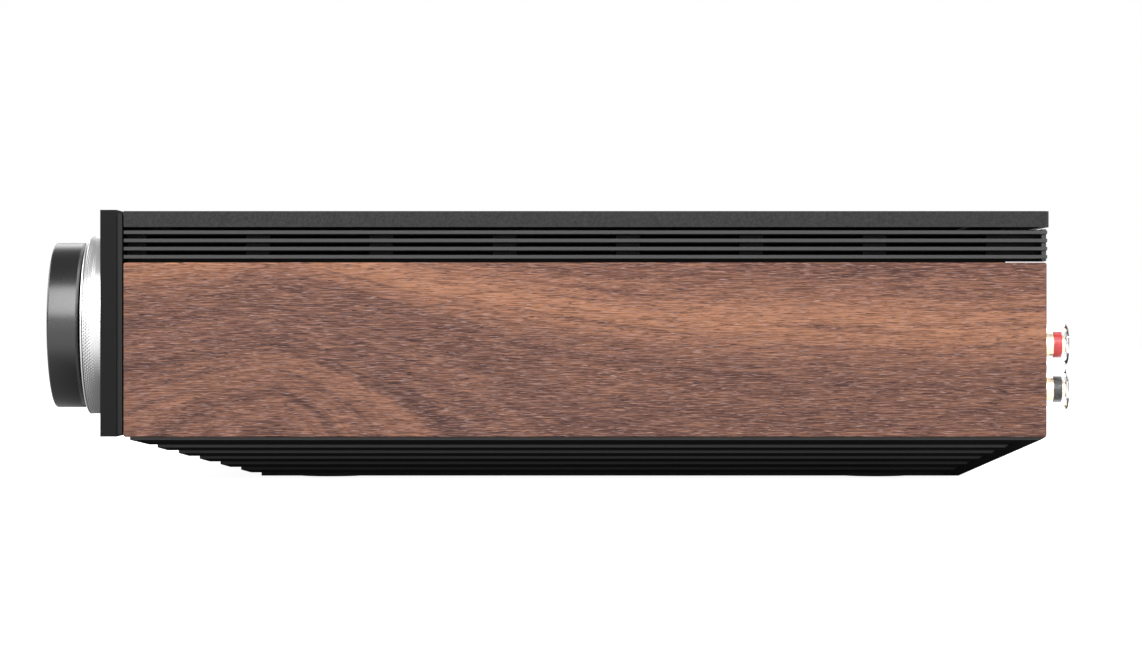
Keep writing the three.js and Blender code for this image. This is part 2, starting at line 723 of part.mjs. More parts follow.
function powerTransformer() {
  const { x, y, radius, hole, height, round } = TRANSFORMER;
  const bottom = FLOOR.top + FIT;
  const top = bottom + height;
  const corner = round * 0.3;
  return turnedZ(
    [
      [hole, bottom + corner],
      [hole + corner, bottom],
      [radius - round, bottom],
      [radius - corner, bottom + corner],
      [radius, bottom + round],
      [radius, top - round],
      [radius - corner, top - corner],
      [radius - round, top],
      [hole + corner, top],
      [hole, top - corner],
      [hole, bottom + corner],
    ],
    x, y, SIDES.large,
  );
}

const washerBottom = FLOOR.top + FIT + TRANSFORMER.height;

function transformerWasher() {
  const { radius, thickness, hole } = WASHER;
  const top = washerBottom + thickness;
  return turnedZ(
    [[hole, washerBottom], [radius, washerBottom], [radius, top], [hole, top], [hole, washerBottom]],
    TRANSFORMER.x, TRANSFORMER.y, SIDES.round,
  );
}

function transformerBolt() {
  const { shank, head, height, sides } = BOLT;
  const seat = washerBottom + WASHER.thickness;
  const top = seat + height;
  return turnedZ(
    [[0, FLOOR.top], [shank, FLOOR.top], [shank, seat], [head, seat], [head, top], [0, top]],
    TRANSFORMER.x, TRANSFORMER.y, sides,
  );
}

function reservoirCapacitor(y) {
  const { radius, height, groove, grooveDepth, x } = CAPACITOR;
  const bottom = BOARD_LEVEL + BOARD;
  const top = bottom + height;
  return turnedZ(
    [
      [0, bottom],
      [radius, bottom],
      [radius, bottom + groove - grooveDepth],
      [radius - grooveDepth, bottom + groove],
      [radius, bottom + groove + grooveDepth],
      [radius, top - grooveDepth],
      [radius - grooveDepth, top],
      [0, top],
    ],
    x, y, SIDES.round,
  );
}

function heatsink() {
  const { base, x0, x1, y0, y1, top, fin, pitch } = HEATSINK;
  const points = [[x0, y0]];
  for (let y = y0; y + fin < y1; y += pitch) {
    points.push([x1, y], [x1, y + fin], [x0 + base, y + fin]);
    if (y + pitch + fin < y1) points.push([x0 + base, y + pitch]);
  }
  points.push([x0 + base, y1], [x0, y1]);
  return extrudeZ(outline(points), [FLOOR.top, top]);
}

// A row of plain blocks that stand for the parts on a board.
function boardParts({ at, size: [width, depth, height], step, count }, top) {
  return Array.from({ length: count }, (_, i) => {
    const x = at[0] + i * step[0];
    const y = at[1] + i * step[1];
    return block(
      [x - width / 2, x + width / 2],
      [y - depth / 2, y + depth / 2],
      [top - FIT, top + height],
    );
  });
}

function circuitBoard({ x, y, level }, rows) {
  const top = level + BOARD;
  return join(block(x, y, [level, top]), ...rows.flatMap((row) => boardParts(row, top)));
}

const BOARD_PARTS = {
  power_board: [{ at: [-125, 80], size: [22, 16, 14], step: [30, 0], count: 3 }],
  amplifier_board: [
    { at: [10, -60], size: [16, 12, 10], step: [28, 0], count: 2 },
    { at: [15, -20], size: [14, 14, 12], step: [0, 24], count: 3 },
  ],
  input_board: [{ at: [60, 100], size: [12, 8, 9], step: [18, 0], count: 3 }],
  digital_board: [],
};

function shieldCan() {
  const bottom = DIGITAL_LEVEL + BOARD;
  return block([-SHIELD.x, SHIELD.x], [SHIELD.y0, SHIELD.y1], [bottom, bottom + SHIELD.height]);
}

function frontBoard() {
  const { half, front, bottom, top } = FRONT_BOARD;
  const board = block([-half, half], [front, front + BOARD], [bottom, top]);
  const through = [front - 1, front + BOARD + 1];
  return cut(
    board,
    rodY(ENCODER.bush + FIT, through, KNOB.x, KNOB.z),
    rodY(HEADPHONE.barrel + FIT, through, HEADPHONE.x, HEADPHONE.z),
  );
}

// ---------------------------------------------------------------- assembly

add('base_plinth', basePlinth(), MATERIALS.blackPlastic);
footPlaces().forEach((place, i) => add(`foot_${i + 1}`, foot(place), MATERIALS.rubber));

add('chassis_floor', chassisFloor(), MATERIALS.steel);
add('chassis_wall_left', chassisWall(-1), MATERIALS.steel);
add('chassis_wall_right', chassisWall(1), MATERIALS.steel);
add('rear_panel', rearPanel(), MATERIALS.blackPaint);
add('sub_fascia', subFascia(), MATERIALS.blackPaint);
add('fascia', fascia(), MATERIALS.blackPaint);
add('wood_cheek_left', cheek(-1), MATERIALS.walnut);
add('wood_cheek_right', cheek(1), MATERIALS.walnut);
add('vent_rail_left', ventRail(-1), MATERIALS.blackPaint);
add('vent_rail_right', ventRail(1), MATERIALS.blackPaint);
add('top_cover', topCover(), MATERIALS.blackPaint);

add('display_glass', displayGlass(), MATERIALS.glass);
add('display_module', displayModule(), MATERIALS.blackPlastic);
add('front_board', frontBoard(), MATERIALS.circuit);
add('volume_encoder', volumeEncoder(), MATERIALS.steel);
add('headphone_socket', headphoneSocket(), MATERIALS.steel);
add('knob_ring', knobRing(), MATERIALS.silver);
add('control_cap', controlCap(), MATERIALS.anodised);
BUTTONS.forEach((button) => add(button.name, pushButton(button), MATERIALS.anodised));

add('mains_inlet', mainsInlet(), MATERIALS.blackPlastic);
add('power_switch_frame', switchFrame(), MATERIALS.blackPlastic);
addRocker();
add('rca_block', rcaBlock(), MATERIALS.blackPlastic);
addPorts();
postPlaces().forEach((place) => {
  add(`post_base_${place.name}`, postBase(place), MATERIALS.blackPlastic);
  add(`post_insert_${place.name}`, postInsert(place), MATERIALS.gold);
  add(`post_sleeve_${place.name}`, postSleeve(place), MATERIALS.clear);
});

add('power_transformer', powerTransformer(), MATERIALS.copper);
add('transformer_washer', transformerWasher(), MATERIALS.steel);
add('transformer_bolt', transformerBolt(), MATERIALS.steel);
CAPACITOR.ys.forEach((y, i) => {
  add(`reservoir_capacitor_${i + 1}`, reservoirCapacitor(y), MATERIALS.blackPlastic);
});
add('heatsink', heatsink(), MATERIALS.anodised);
FLOOR_BOARDS.forEach((board) => {
  add(board.name, circuitBoard(board, BOARD_PARTS[board.name]), MATERIALS.circuit);
});
add('digital_shield', shieldCan(), MATERIALS.steel);

export default assembly;
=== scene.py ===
import math

import bmesh
import bpy
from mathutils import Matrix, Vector


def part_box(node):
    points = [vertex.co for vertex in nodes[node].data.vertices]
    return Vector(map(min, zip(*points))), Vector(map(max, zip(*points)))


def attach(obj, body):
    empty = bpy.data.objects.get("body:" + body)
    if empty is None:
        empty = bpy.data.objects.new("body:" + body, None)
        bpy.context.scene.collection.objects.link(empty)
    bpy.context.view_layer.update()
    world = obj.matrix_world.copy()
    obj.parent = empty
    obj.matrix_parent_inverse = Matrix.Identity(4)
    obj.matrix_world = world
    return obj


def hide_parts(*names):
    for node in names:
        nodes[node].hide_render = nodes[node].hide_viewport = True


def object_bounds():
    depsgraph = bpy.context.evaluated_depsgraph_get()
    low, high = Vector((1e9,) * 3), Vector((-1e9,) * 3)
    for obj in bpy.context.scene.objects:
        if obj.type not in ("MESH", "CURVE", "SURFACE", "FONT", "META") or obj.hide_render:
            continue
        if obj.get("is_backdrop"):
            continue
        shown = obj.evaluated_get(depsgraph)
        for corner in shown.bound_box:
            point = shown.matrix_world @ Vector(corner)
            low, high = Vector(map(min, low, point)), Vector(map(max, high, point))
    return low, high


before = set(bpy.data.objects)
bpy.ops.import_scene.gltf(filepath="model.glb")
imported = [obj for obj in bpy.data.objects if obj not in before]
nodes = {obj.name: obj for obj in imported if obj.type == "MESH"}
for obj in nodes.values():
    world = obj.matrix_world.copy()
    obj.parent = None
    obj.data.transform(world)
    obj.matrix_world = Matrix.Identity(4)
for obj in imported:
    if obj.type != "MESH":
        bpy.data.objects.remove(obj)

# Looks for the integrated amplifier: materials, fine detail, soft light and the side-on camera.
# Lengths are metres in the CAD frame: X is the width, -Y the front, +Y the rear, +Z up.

cad_box = [list(corner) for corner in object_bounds()]
MM = 0.001
sides = ("left", "right")
posts = [f"{side}_{pole}" for side in sides for pole in ("negative", "positive")]


def middle(node):
    low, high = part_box(node)
    return (low + high) / 2


# ---------------------------------------------------------------- material building blocks

class Nodes:
    """A node tree, with short ways to add nodes and to feed them."""

    def __init__(self, tree):
        self.tree = tree

    def add(self, kind, **settings):
        node = self.tree.nodes.new(kind)
        for key, value in settings.items():
            setattr(node, key, value)
        return node

    def feed(self, socket, value):
        """Links an output to the socket, or sets the socket when the value is plain."""
        if isinstance(value, bpy.types.NodeSocket):
            self.tree.links.new(value, socket)
        else:
            socket.default_value = value

    def output_of(self, kind, *values, **named):
        """The first output of a new node, its sockets fed in order or by name."""
        node = self.add(kind)
        for socket, value in zip(node.inputs, values):
            self.feed(socket, value)
        for key, value in named.items():
            self.feed(node.inputs[key], value)
        return node.outputs[0]

    def math(self, operation, first, second=0.0):
        node = self.add("ShaderNodeMath", operation=operation)
        self.feed(node.inputs[0], first)
        self.feed(node.inputs[1], second)
        return node.outputs[0]

    def spread(self, value, low, high, to_low=0.0, to_high=1.0):
        """Maps low..high onto to_low..to_high, and holds the ends beyond them."""
        return self.output_of("ShaderNodeMapRange", value, low, high, to_low, to_high)

    def split(self, vector):
        """A vector's parts, as outputs named X, Y and Z."""
        node = self.add("ShaderNodeSeparateXYZ")
        self.feed(node.inputs[0], vector)
        return node.outputs


class Graph(Nodes):
    """One material's nodes, with what the materials below share."""

    def __init__(self, name):
        self.material = bpy.data.materials.new(name)
        self.material.use_nodes = True
        super().__init__(self.material.node_tree)
        self.shader = self.tree.nodes["Principled BSDF"]
        self.place = self.add("ShaderNodeTexCoord").outputs["Object"]

    def stretched(self, size):
        """Object coordinates divided by a cell's size in millimetres along X, Y and Z."""
        node = self.add("ShaderNodeMapping")
        self.feed(node.inputs["Vector"], self.place)
        node.inputs["Scale"].default_value = [1 / (MM * s) for s in size]
        return node.outputs["Vector"]

    def noise(self, size, detail=2.0, roughness=0.5, vector=None):
        """Noise whose cells measure size millimetres, or noise on a given vector."""
        node = self.add("ShaderNodeTexNoise")
        self.feed(node.inputs["Vector"], self.stretched(size) if vector is None else vector)
        node.inputs["Scale"].default_value = 1.0
        node.inputs["Detail"].default_value = detail
        node.inputs["Roughness"].default_value = roughness
        return node.outputs["Fac"]

    def mix(self, fac, first, second):
        """A colour from first, where fac is 0, to second, where it is 1."""
        node = self.add("ShaderNodeMix", data_type="RGBA")
        self.feed(node.inputs["Factor"], fac)
        self.feed(node.inputs[6], first)
        self.feed(node.inputs[7], second)
        return node.outputs[2]

    def ramp(self, fac, stops):
        node = self.add("ShaderNodeValToRGB")
        elements = node.color_ramp.elements
        while len(elements) < len(stops):
            elements.new(0.5)
        for element, (position, color) in zip(elements, stops):
            element.position = position
            element.color = color
        self.feed(node.inputs["Fac"], fac)
        return node.outputs["Color"]

    def bump(self, height, distance, strength):
        """Raises the surface by up to distance, in millimetres, where height is 1."""
        node = self.add("ShaderNodeBump")
        node.inputs["Strength"].default_value = strength
        node.inputs["Distance"].default_value = distance * MM
        self.feed(node.inputs["Height"], height)
        self.feed(self.shader.inputs["Normal"], node.outputs["Normal"])

    def set(self, **values):
        """Feeds the shader's sockets, named with underscores, and returns the material."""
        for key, value in values.items():
            self.feed(self.shader.inputs[key.replace("_", " ")], value)
        return self.material


def srgb(red, green, blue):
    """A linear colour from ordinary 0 to 255 colour numbers."""
    def linear(value):
        value /= 255
        return value / 12.92 if value <= 0.04045 else ((value + 0.055) / 1.055) ** 2.4
    return (linear(red), linear(green), linear(blue), 1.0)


def grey(value):
    return srgb(value, value, value)


def darker(color, share):
    """The colour with its light cut to a share."""
    return tuple(part * share for part in color[:3]) + (1.0,)


# ---------------------------------------------------------------- materials

# Colours met from the heart of the tree outwards, at shares of the way out.
WALNUT_BANDS = [
    (0.000, (110, 76, 66)),
    (0.012, (76, 51, 48)),
    (0.030, (115, 80, 68)),
    (0.064, (117, 81, 68)),
    (0.076, (64, 44, 44)),
    (0.088, (115, 80, 67)),
    (0.140, (120, 84, 70)),
    (0.182, (124, 86, 71)),
    (0.205, (74, 51, 49)),
    (0.245, (103, 72, 64)),
    (0.340, (99, 69, 61)),
    (0.440, (98, 67, 58)),
    (0.500, (104, 72, 62)),
    (0.560, (132, 91, 73)),
    (0.640, (165, 115, 87)),
    (0.720, (153, 106, 82)),
    (0.810, (124, 85, 69)),
    (0.900, (106, 72, 61)),
    (1.000, (98, 65, 56)),
]
BAND_REACH = 7500.0  # square millimetres from the heart line to the last band
HEART_DEPTH = 8.0  # how far the heart line runs below the board, in millimetres
ARCH_FALL = 2900.0  # square millimetres that an arch falls away by, far from its apex
ARCH_WANDER = 5.0  # millimetres that the arches stray by
LAYER_SHIFT = 30.0  # millimetres that the thin layers of pores are shifted by


def walnut(name, node, apex, spread_front, spread_rear):
    """Flat-sawn walnut: cathedral arches under an apex, with pores and flecks along the board.

    apex is how far the arches' middle lies from the board's front, in millimetres, and the
    spreads say how quickly the arches fall away towards the front and the rear.
    """
    g = Graph(name)
    low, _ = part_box(node)
    at = g.split(g.place)
    wander = g.math("MULTIPLY", g.math("SUBTRACT", g.noise((40, 60, 20), 2), 0.5), ARCH_WANDER)
    along = g.math("DIVIDE", g.math("SUBTRACT", at["Y"], low.y + apex * MM), MM)
    height = g.math("DIVIDE", g.math("SUBTRACT", at["Z"], low.z), MM)
    height = g.math("ADD", height, wander)
    behind = g.math("GREATER_THAN", along, 0.0)
    width = g.spread(behind, 0.0, 1.0, spread_front, spread_rear)
    steps = g.math("POWER", g.math("DIVIDE", g.math("ABSOLUTE", along), width), 1.3)
    fallen = g.math("SUBTRACT", 1.0, g.math("EXPONENT", g.math("MULTIPLY", steps, -1.0)))
    level = g.math("POWER", g.math("ADD", height, HEART_DEPTH), 2.0)
    reach = g.math("ADD", level, g.math("MULTIPLY", fallen, ARCH_FALL))
    bands = [(share, srgb(*tone)) for share, tone in WALNUT_BANDS]
    color = g.ramp(g.math("DIVIDE", reach, BAND_REACH), bands)

    # Growth rings: lines at even steps outwards, uneven in strength.
    ring = g.math("SQRT", g.math("ABSOLUTE", reach))
    steps_out, steps_along = g.math("MULTIPLY", ring, 0.6), g.math("MULTIPLY", along, 0.012)
    rings = g.noise(None, 2.5, 0.6, g.output_of("ShaderNodeCombineXYZ", steps_out, steps_along))
    color = g.mix(g.spread(rings, 0.52, 0.70, 0.0, 0.75), color, srgb(78, 52, 50))
    color = g.mix(g.spread(rings, 0.50, 0.30, 0.0, 0.30), color, srgb(166, 116, 90))

    # Fibres, dark open pores and pale flecks, all drawn out along the board. Each thin layer
    # is shifted by its own length, so that they never line up in columns.
    stray = g.math("SUBTRACT", g.noise((60, 60, 1.1), 2), 0.5)
    shift = g.math("MULTIPLY", stray, LAYER_SHIFT * MM)
    g.place = g.output_of("ShaderNodeCombineXYZ", at["X"], g.math("ADD", at["Y"], shift), at["Z"])
    fibres = g.noise((0.6, 10, 0.2), 2, 0.6)
    color = g.mix(g.spread(fibres, 0.34, 0.54, 0.68, 0.0), color, srgb(58, 37, 34))
    color = g.mix(g.spread(fibres, 0.50, 0.68, 0.0, 0.50), color, srgb(182, 130, 102))
    pores = g.noise((0.5, 4.0, 0.17), 1, 0.5)
    open_pore = g.spread(pores, 0.60, 0.64, 0.0, 1.0)
    color = g.mix(g.math("MULTIPLY", open_pore, 0.85), color, srgb(40, 26, 30))
    flecks = g.noise((0.5, 4.5, 0.16), 1, 0.5)
    pale = g.spread(flecks, 0.62, 0.66, 0.0, 0.75)
    color = g.mix(pale, color, srgb(170, 140, 134))

    grooves = g.math("ADD", g.math("MULTIPLY", open_pore, -1.0), g.math("MULTIPLY", fibres, 0.6))
    g.bump(grooves, 0.05, 0.5)
    rough = g.spread(fibres, 0.3, 0.7, 0.62, 0.50)
    return g.set(Base_Color=color, Roughness=rough, Specular_IOR_Level=0.18)


def grained_paint(name, tone, speckle, roughness, grain=0.45, specular=0.3, depth=0.03):
    """Paint or anodising over a blasted surface: fine speckle, cloudy tone and a matching bump."""
    g = Graph(name)
    fine = g.noise((grain, grain, grain), 2, 0.7)
    clouds = g.noise((38, 55, 30), 3)
    color = g.mix(g.spread(fine, 0.32, 0.70), grey(tone - speckle), grey(tone + speckle))
    color = g.mix(g.spread(clouds, 0.35, 0.7, 0.0, 0.15), color, grey(tone + speckle))
    g.bump(fine, depth, 0.7)
    rough = g.spread(clouds, 0.3, 0.7, roughness - 0.03, roughness + 0.03)
    return g.set(Base_Color=color, Roughness=rough, Specular_IOR_Level=specular)


def ribbed_paint(name, node, tone, gap_shade_tone):
    """Satin paint on the tips of the ribs, falling to dead black in the gaps between them, where the
    colour is painted shade set by depth below the tips.
    """
    g = Graph(name)
    low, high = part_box(node)
    tip = max(abs(low.x), abs(high.x))
    depth = g.math("SUBTRACT", tip, g.math("ABSOLUTE", g.split(g.place)["X"]))
    # Painted shade: deeper than the tips, the colour turns to the gaps' shade tone and the gloss dies.
    gap = g.spread(depth, 0.2 * MM, 0.45 * MM)
    fine = g.noise((0.3, 0.3, 0.3), 2, 0.7)
    tips = g.mix(g.spread(fine, 0.32, 0.70), grey(tone - 4), grey(tone + 4))
    g.bump(fine, 0.006, 0.7)
    return g.set(
        Base_Color=g.mix(gap, tips, grey(gap_shade_tone)),
        Roughness=g.spread(gap, 0.0, 1.0, 0.30, 0.85),
        Specular_IOR_Level=g.spread(gap, 0.0, 1.0, 0.72, 0.08),
    )


def moulded_plastic(name, tone, roughness):
    """Black plastic with the fine grain of a spark-eroded mould."""
    g = Graph(name)
    sparks = g.noise((0.9, 0.9, 0.9), 3, 0.6)
    color = g.mix(g.spread(sparks, 0.3, 0.7), grey(tone - 3), grey(tone + 4))
    g.bump(sparks, 0.03, 0.5)
    rough = g.spread(g.noise((20, 20, 20), 2), 0.3, 0.7, roughness - 0.05, roughness + 0.07)
    return g.set(Base_Color=color, Roughness=rough, Specular_IOR_Level=0.3)


def stepped_plastic(name):
    """The base's moulding: satin on its upright risers, matt on the slanted faces between, which also
    carry painted shade: they face down and are coloured darker than the risers.

    The satin goes duller towards the floor.
    """
    g = Graph(name)
    low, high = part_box("base_plinth")
    facing = g.split(g.add("ShaderNodeNewGeometry").outputs["Normal"])
    slope = g.spread(g.math("ABSOLUTE", facing["Z"]), 0.2, 0.6)
    satin = g.spread(g.split(g.place)["Z"], low.z, high.z, 0.10, 0.50)
    grain = g.noise((0.7, 0.7, 0.7), 3, 0.6)
    upright = g.mix(g.spread(grain, 0.3, 0.7), grey(22), grey(30))
    # Painted shade: the down-facing faces get a darker colour than the risers, chosen by which way they
    # face.
    sloped_painted_shade = g.mix(g.spread(grain, 0.3, 0.7), grey(9), grey(15))
    g.bump(grain, 0.02, 0.4)
    return g.set(
        Base_Color=g.mix(slope, upright, sloped_painted_shade),
        Roughness=g.spread(slope, 0.0, 1.0, 0.32, 0.85),
        Specular_IOR_Level=g.spread(slope, 0.0, 1.0, satin, 0.08),
    )


LATHE_GROOVE = 0.12  # the pitch of the rings that a lathe leaves, in millimetres


def turned_metal(name, color, roughness, centre=None, depth=0.004):
    """Metal with fine turned rings round an axis along Y through centre.

    Without a centre the rings run only down the side, for turned parts that share a material.
    """
    g = Graph(name)
    if centre is None:
        lines = g.noise((400, LATHE_GROOVE, 400), 2, 0.6)
    else:
        at = g.split(g.place)
        across = g.math("SUBTRACT", at["X"], centre.x)
        upward = g.math("SUBTRACT", at["Z"], centre.z)
        square = g.math("ADD", g.math("POWER", across, 2.0), g.math("POWER", upward, 2.0))
        radius = g.math("DIVIDE", g.math("SQRT", square), LATHE_GROOVE * MM)
        down = g.math("DIVIDE", at["Y"], LATHE_GROOVE * MM)
        lines = g.noise(None, 2, 0.6, g.output_of("ShaderNodeCombineXYZ", radius, down))
    shade = g.mix(g.spread(lines, 0.3, 0.7), darker(color, 0.82), color)
    g.bump(lines, depth, 0.8)
    smudges = g.noise((14, 14, 14), 3)
    rough = g.spread(smudges, 0.3, 0.7, roughness - 0.015, roughness + 0.015)
    return g.set(Base_Color=shade, Metallic=1.0, Roughness=rough)


def brushed_sheet(name, tone, roughness=0.38):
    """Bare or blackened sheet, brushed level all round."""
    g = Graph(name)
    lines = g.noise((18, 18, 0.25), 2, 0.6)
    color = g.mix(g.spread(lines, 0.3, 0.7), grey(tone - 22), grey(tone))
    g.bump(lines, 0.01, 0.5)
    rough = g.spread(lines, 0.3, 0.7, roughness - 0.05, roughness + 0.08)
    return g.set(Base_Color=color, Metallic=1.0, Roughness=rough)


def plated(name, color, roughness):
    """Bright plating, with patches a little duller from handling."""
    g = Graph(name)
    wear = g.noise((3, 3, 3), 3)
    shade = g.mix(g.spread(wear, 0.35, 0.7), darker(color, 0.75), color)
    g.bump(g.noise((0.4, 0.4, 0.4)), 0.004, 0.5)
    rough = g.spread(wear, 0.3, 0.7, roughness - 0.04, roughness + 0.1)
    return g.set(Base_Color=shade, Metallic=1.0, Roughness=rough)


CLEAR_IOR = 1.15  # low, so that a bright room shows through the nuts and not their walls


def clear_plastic(name, color):
    """Moulded clear plastic, with faint waves."""
    g = Graph(name)
    waves = g.noise((2.5, 2.5, 2.5), 2)
    tint = g.mix(g.spread(waves, 0.3, 0.7), color, (1.0, 1.0, 1.0, 1.0))
    g.bump(waves, 0.01, 0.3)
    rough = g.spread(waves, 0.3, 0.7, 0.04, 0.08)
    return g.set(Base_Color=tint, Roughness=rough, Transmission_Weight=1.0, IOR=CLEAR_IOR)


def tinted_plastic(name, color, roughness=0.35):
    """Smooth plastic or ink in a clouded colour."""
    g = Graph(name)
    cloud = g.noise((1.6, 1.6, 1.6), 3)
    shade = g.mix(g.spread(cloud, 0.3, 0.7), darker(color, 0.7), color)
    g.bump(g.noise((0.5, 0.5, 0.5)), 0.01, 0.4)
    rough = g.spread(cloud, 0.3, 0.7, roughness - 0.05, roughness + 0.08)
    return g.set(Base_Color=shade, Roughness=rough, Specular_IOR_Level=0.5)


def window_glass(name):
    """Smoked glass with a coating that halves its reflections, hence the low index."""
    g = Graph(name)
    film = g.noise((30, 30, 30), 3)
    tint = g.mix(g.spread(film, 0.3, 0.7), (0.16, 0.17, 0.19, 1), (0.20, 0.21, 0.23, 1))
    rough = g.spread(film, 0.3, 0.7, 0.02, 0.06)
    return g.set(Base_Color=tint, Roughness=rough, Transmission_Weight=0.9, IOR=1.3)


def circuit_board(name):
    """Green solder mask with a raised pattern of tracks, and scattered gold pads."""
    g = Graph(name)
    tracks = g.add("ShaderNodeTexBrick")
    g.feed(tracks.inputs["Vector"], g.stretched((9, 6, 6)))
    g.feed(tracks.inputs["Color1"], (0.010, 0.080, 0.035, 1))
    g.feed(tracks.inputs["Color2"], (0.014, 0.105, 0.045, 1))
    g.feed(tracks.inputs["Mortar"], (0.030, 0.170, 0.070, 1))
    g.feed(tracks.inputs["Scale"], 1.0)
    g.bump(tracks.outputs["Fac"], 0.03, 0.5)
    pads = g.spread(g.noise((2.2, 2.2, 2.2), 1), 0.66, 0.70)
    color = g.mix(pads, tracks.outputs["Color"], (0.55, 0.42, 0.16, 1))
    return g.set(Base_Color=color, Roughness=g.spread(pads, 0, 1, 0.42, 0.25))


def copper_winding(name):
    """Varnished copper wire, wound turn beside turn."""
    g = Graph(name)
    turns = g.noise((0.9, 0.9, 14), 2)
    color = g.mix(g.spread(turns, 0.3, 0.7), srgb(120, 62, 30), srgb(196, 120, 66))
    g.bump(turns, 0.25, 0.8)
    return g.set(Base_Color=color, Roughness=0.32, Metallic=0.7, Coat_Weight=0.5)


def rubber(name):
    """Matt black rubber with a little dust on it."""
    g = Graph(name)
    dust = g.noise((0.8, 0.8, 0.8), 3)
    color = g.mix(g.spread(dust, 0.4, 0.75), grey(24), grey(40))
    g.bump(dust, 0.05, 0.6)
    rough = g.spread(dust, 0.3, 0.7, 0.78, 0.92)
    return g.set(Base_Color=color, Roughness=rough, Specular_IOR_Level=0.2)


def glowing(name, color, strength):
    """A lamp or a lit stroke, slightly uneven in brightness."""
    g = Graph(name)
    ripple = g.noise((0.4, 0.4, 0.4), 1)
    tone = g.mix(g.spread(ripple, 0.3, 0.7), darker(color, 0.8), color)
    return g.set(Base_Color=tone, Roughness=0.5, Emission_Color=tone, Emission_Strength=strength)


knob_centre = middle("control_cap")
walnut_right = walnut("walnut_right", "wood_cheek_right", 52.0, 145.0, 75.0)
walnut_left = walnut("walnut_left", "wood_cheek_left", 176.0, 96.0, 118.0)
cover_paint = grained_paint("cover_paint", 41, 10, 0.60, grain=0.8, specular=0.2)
fascia_paint = grained_paint("fascia_paint", 18, 4, 0.5, grain=0.35, specular=0.12)
trim_paint = grained_paint("trim_paint", 25, 4, 0.45, grain=0.4, specular=0.25)
# The last number is the tone of the painted shade in the rails' gaps.
rail_left = ribbed_paint("rail_left_paint", "vent_rail_left", 27, 76)
rail_right = ribbed_paint("rail_right_paint", "vent_rail_right", 27, 76)
# The chassis walls, seen only through the vent slots, are painted near black: painted shade for the
# dark inside of the case.
wall_painted_shade = grained_paint("wall_painted_shade", 11, 3, 0.7, grain=0.5, specular=0.1)
panel_paint = grained_paint("panel_paint", 40, 6, 0.55, grain=0.5)
base_plastic = stepped_plastic("base_plastic")
black_plastic = moulded_plastic("black_plastic", 30, 0.45)
port_plastic = moulded_plastic("port_plastic", 22, 0.55)
foot_rubber = rubber("foot_rubber")
anodised = turned_metal("anodised", grey(86), 0.28, knob_centre, depth=0.006)
silver = turned_metal("silver", grey(250), 0.32, knob_centre)
button_metal = turned_metal("button_metal", grey(92), 0.30)
steel = plated("steel", grey(196), 0.28)
sheet_steel = brushed_sheet("sheet_steel", 190)
gold = plated("gold", srgb(232, 190, 112), 0.16)
pale_gold = plated("pale_gold", srgb(244, 229, 203), 0.24)
clear = clear_plastic("clear_plastic", (0.96, 0.97, 0.98, 1))
red_plastic = tinted_plastic("red_plastic", srgb(206, 40, 44))
white_plastic = tinted_plastic("white_plastic", srgb(214, 212, 206))
dark_plastic = tinted_plastic("dark_plastic", grey(44))
glass = window_glass("display_glass")
board = circuit_board("circuit_board")
copper = copper_winding("copper_winding")
heatsink_black = brushed_sheet("heatsink_black", 74, 0.4)
print_white = tinted_plastic("print_white", grey(176), 0.6)
lamp = glowing("lamp", (0.80, 0.92, 1.0, 1), 2.2)

FINISHES = {
    "wood_cheek_right": walnut_right, "wood_cheek_left": walnut_left,
    "top_cover": cover_paint, "fascia": fascia_paint, "sub_fascia": trim_paint,
    "vent_rail_left": rail_left, "vent_rail_right": rail_right, "rear_panel": panel_paint,
    "base_plinth": base_plastic,
    "chassis_floor": sheet_steel, "chassis_wall_left": wall_painted_shade, "chassis_wall_right": wall_painted_shade,
    "display_glass": glass, "display_module": black_plastic, "front_board": board,
    "volume_encoder": steel, "headphone_socket": steel,
    "mains_inlet": black_plastic, "power_switch_frame": black_plastic, "power_rocker": black_plastic,
    "rca_block": port_plastic, "lan_socket": port_plastic, "usb_socket": port_plastic,
    "hdmi_socket": port_plastic, "optical_socket": port_plastic,
    "power_transformer": copper, "transformer_washer": steel, "transformer_bolt": steel,
    "reservoir_capacitor_1": dark_plastic, "reservoir_capacitor_2": dark_plastic,
    "heatsink": heatsink_black, "digital_shield": sheet_steel,
    "power_board": board, "amplifier_board": board, "input_board": board, "digital_board": board,
}
FINISHES.update({f"post_base_{post}": gold for post in posts})


def finish_nodes():
    """Gives each CAD node that stays visible its material."""
    for name, material in FINISHES.items():
        mesh = nodes[name].data
        mesh.materials.clear()
        mesh.materials.append(material)


def soften(name, width, segments=3):
    """Rounds a CAD node's sharp edges a little, as machining and paint leave them."""
    node = nodes[name]
    for face in node.data.polygons:
        face.use_smooth = True
    weld = node.modifiers.new("weld", "WELD")
    weld.merge_threshold = 0.01 * MM
    bevel = node.modifiers.new("bevel", "BEVEL")
    bevel.width = width * MM
    bevel.segments = segments
    bevel.limit_method = "ANGLE"
    bevel.angle_limit = math.radians(35)
    normals = node.modifiers.new("normals", "WEIGHTED_NORMAL")
    normals.mode = "FACE_AREA"
    normals.weight = 100


# ---------------------------------------------------------------- piece building blocks

def place_object(name, data):
    """An object in the scene for a mesh, light or camera."""
    thing = bpy.data.objects.new(name, data)
    bpy.context.scene.collection.objects.link(thing)
    return thing


def piece(mesh, material, body, instead_of=None):
    """A visible piece with its mesh's name, on a body, perhaps in place of a CAD node."""
    mesh.materials.append(material)
    thing = place_object(mesh.name, mesh)
    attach(thing, body)
    if instead_of:
        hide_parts(instead_of)


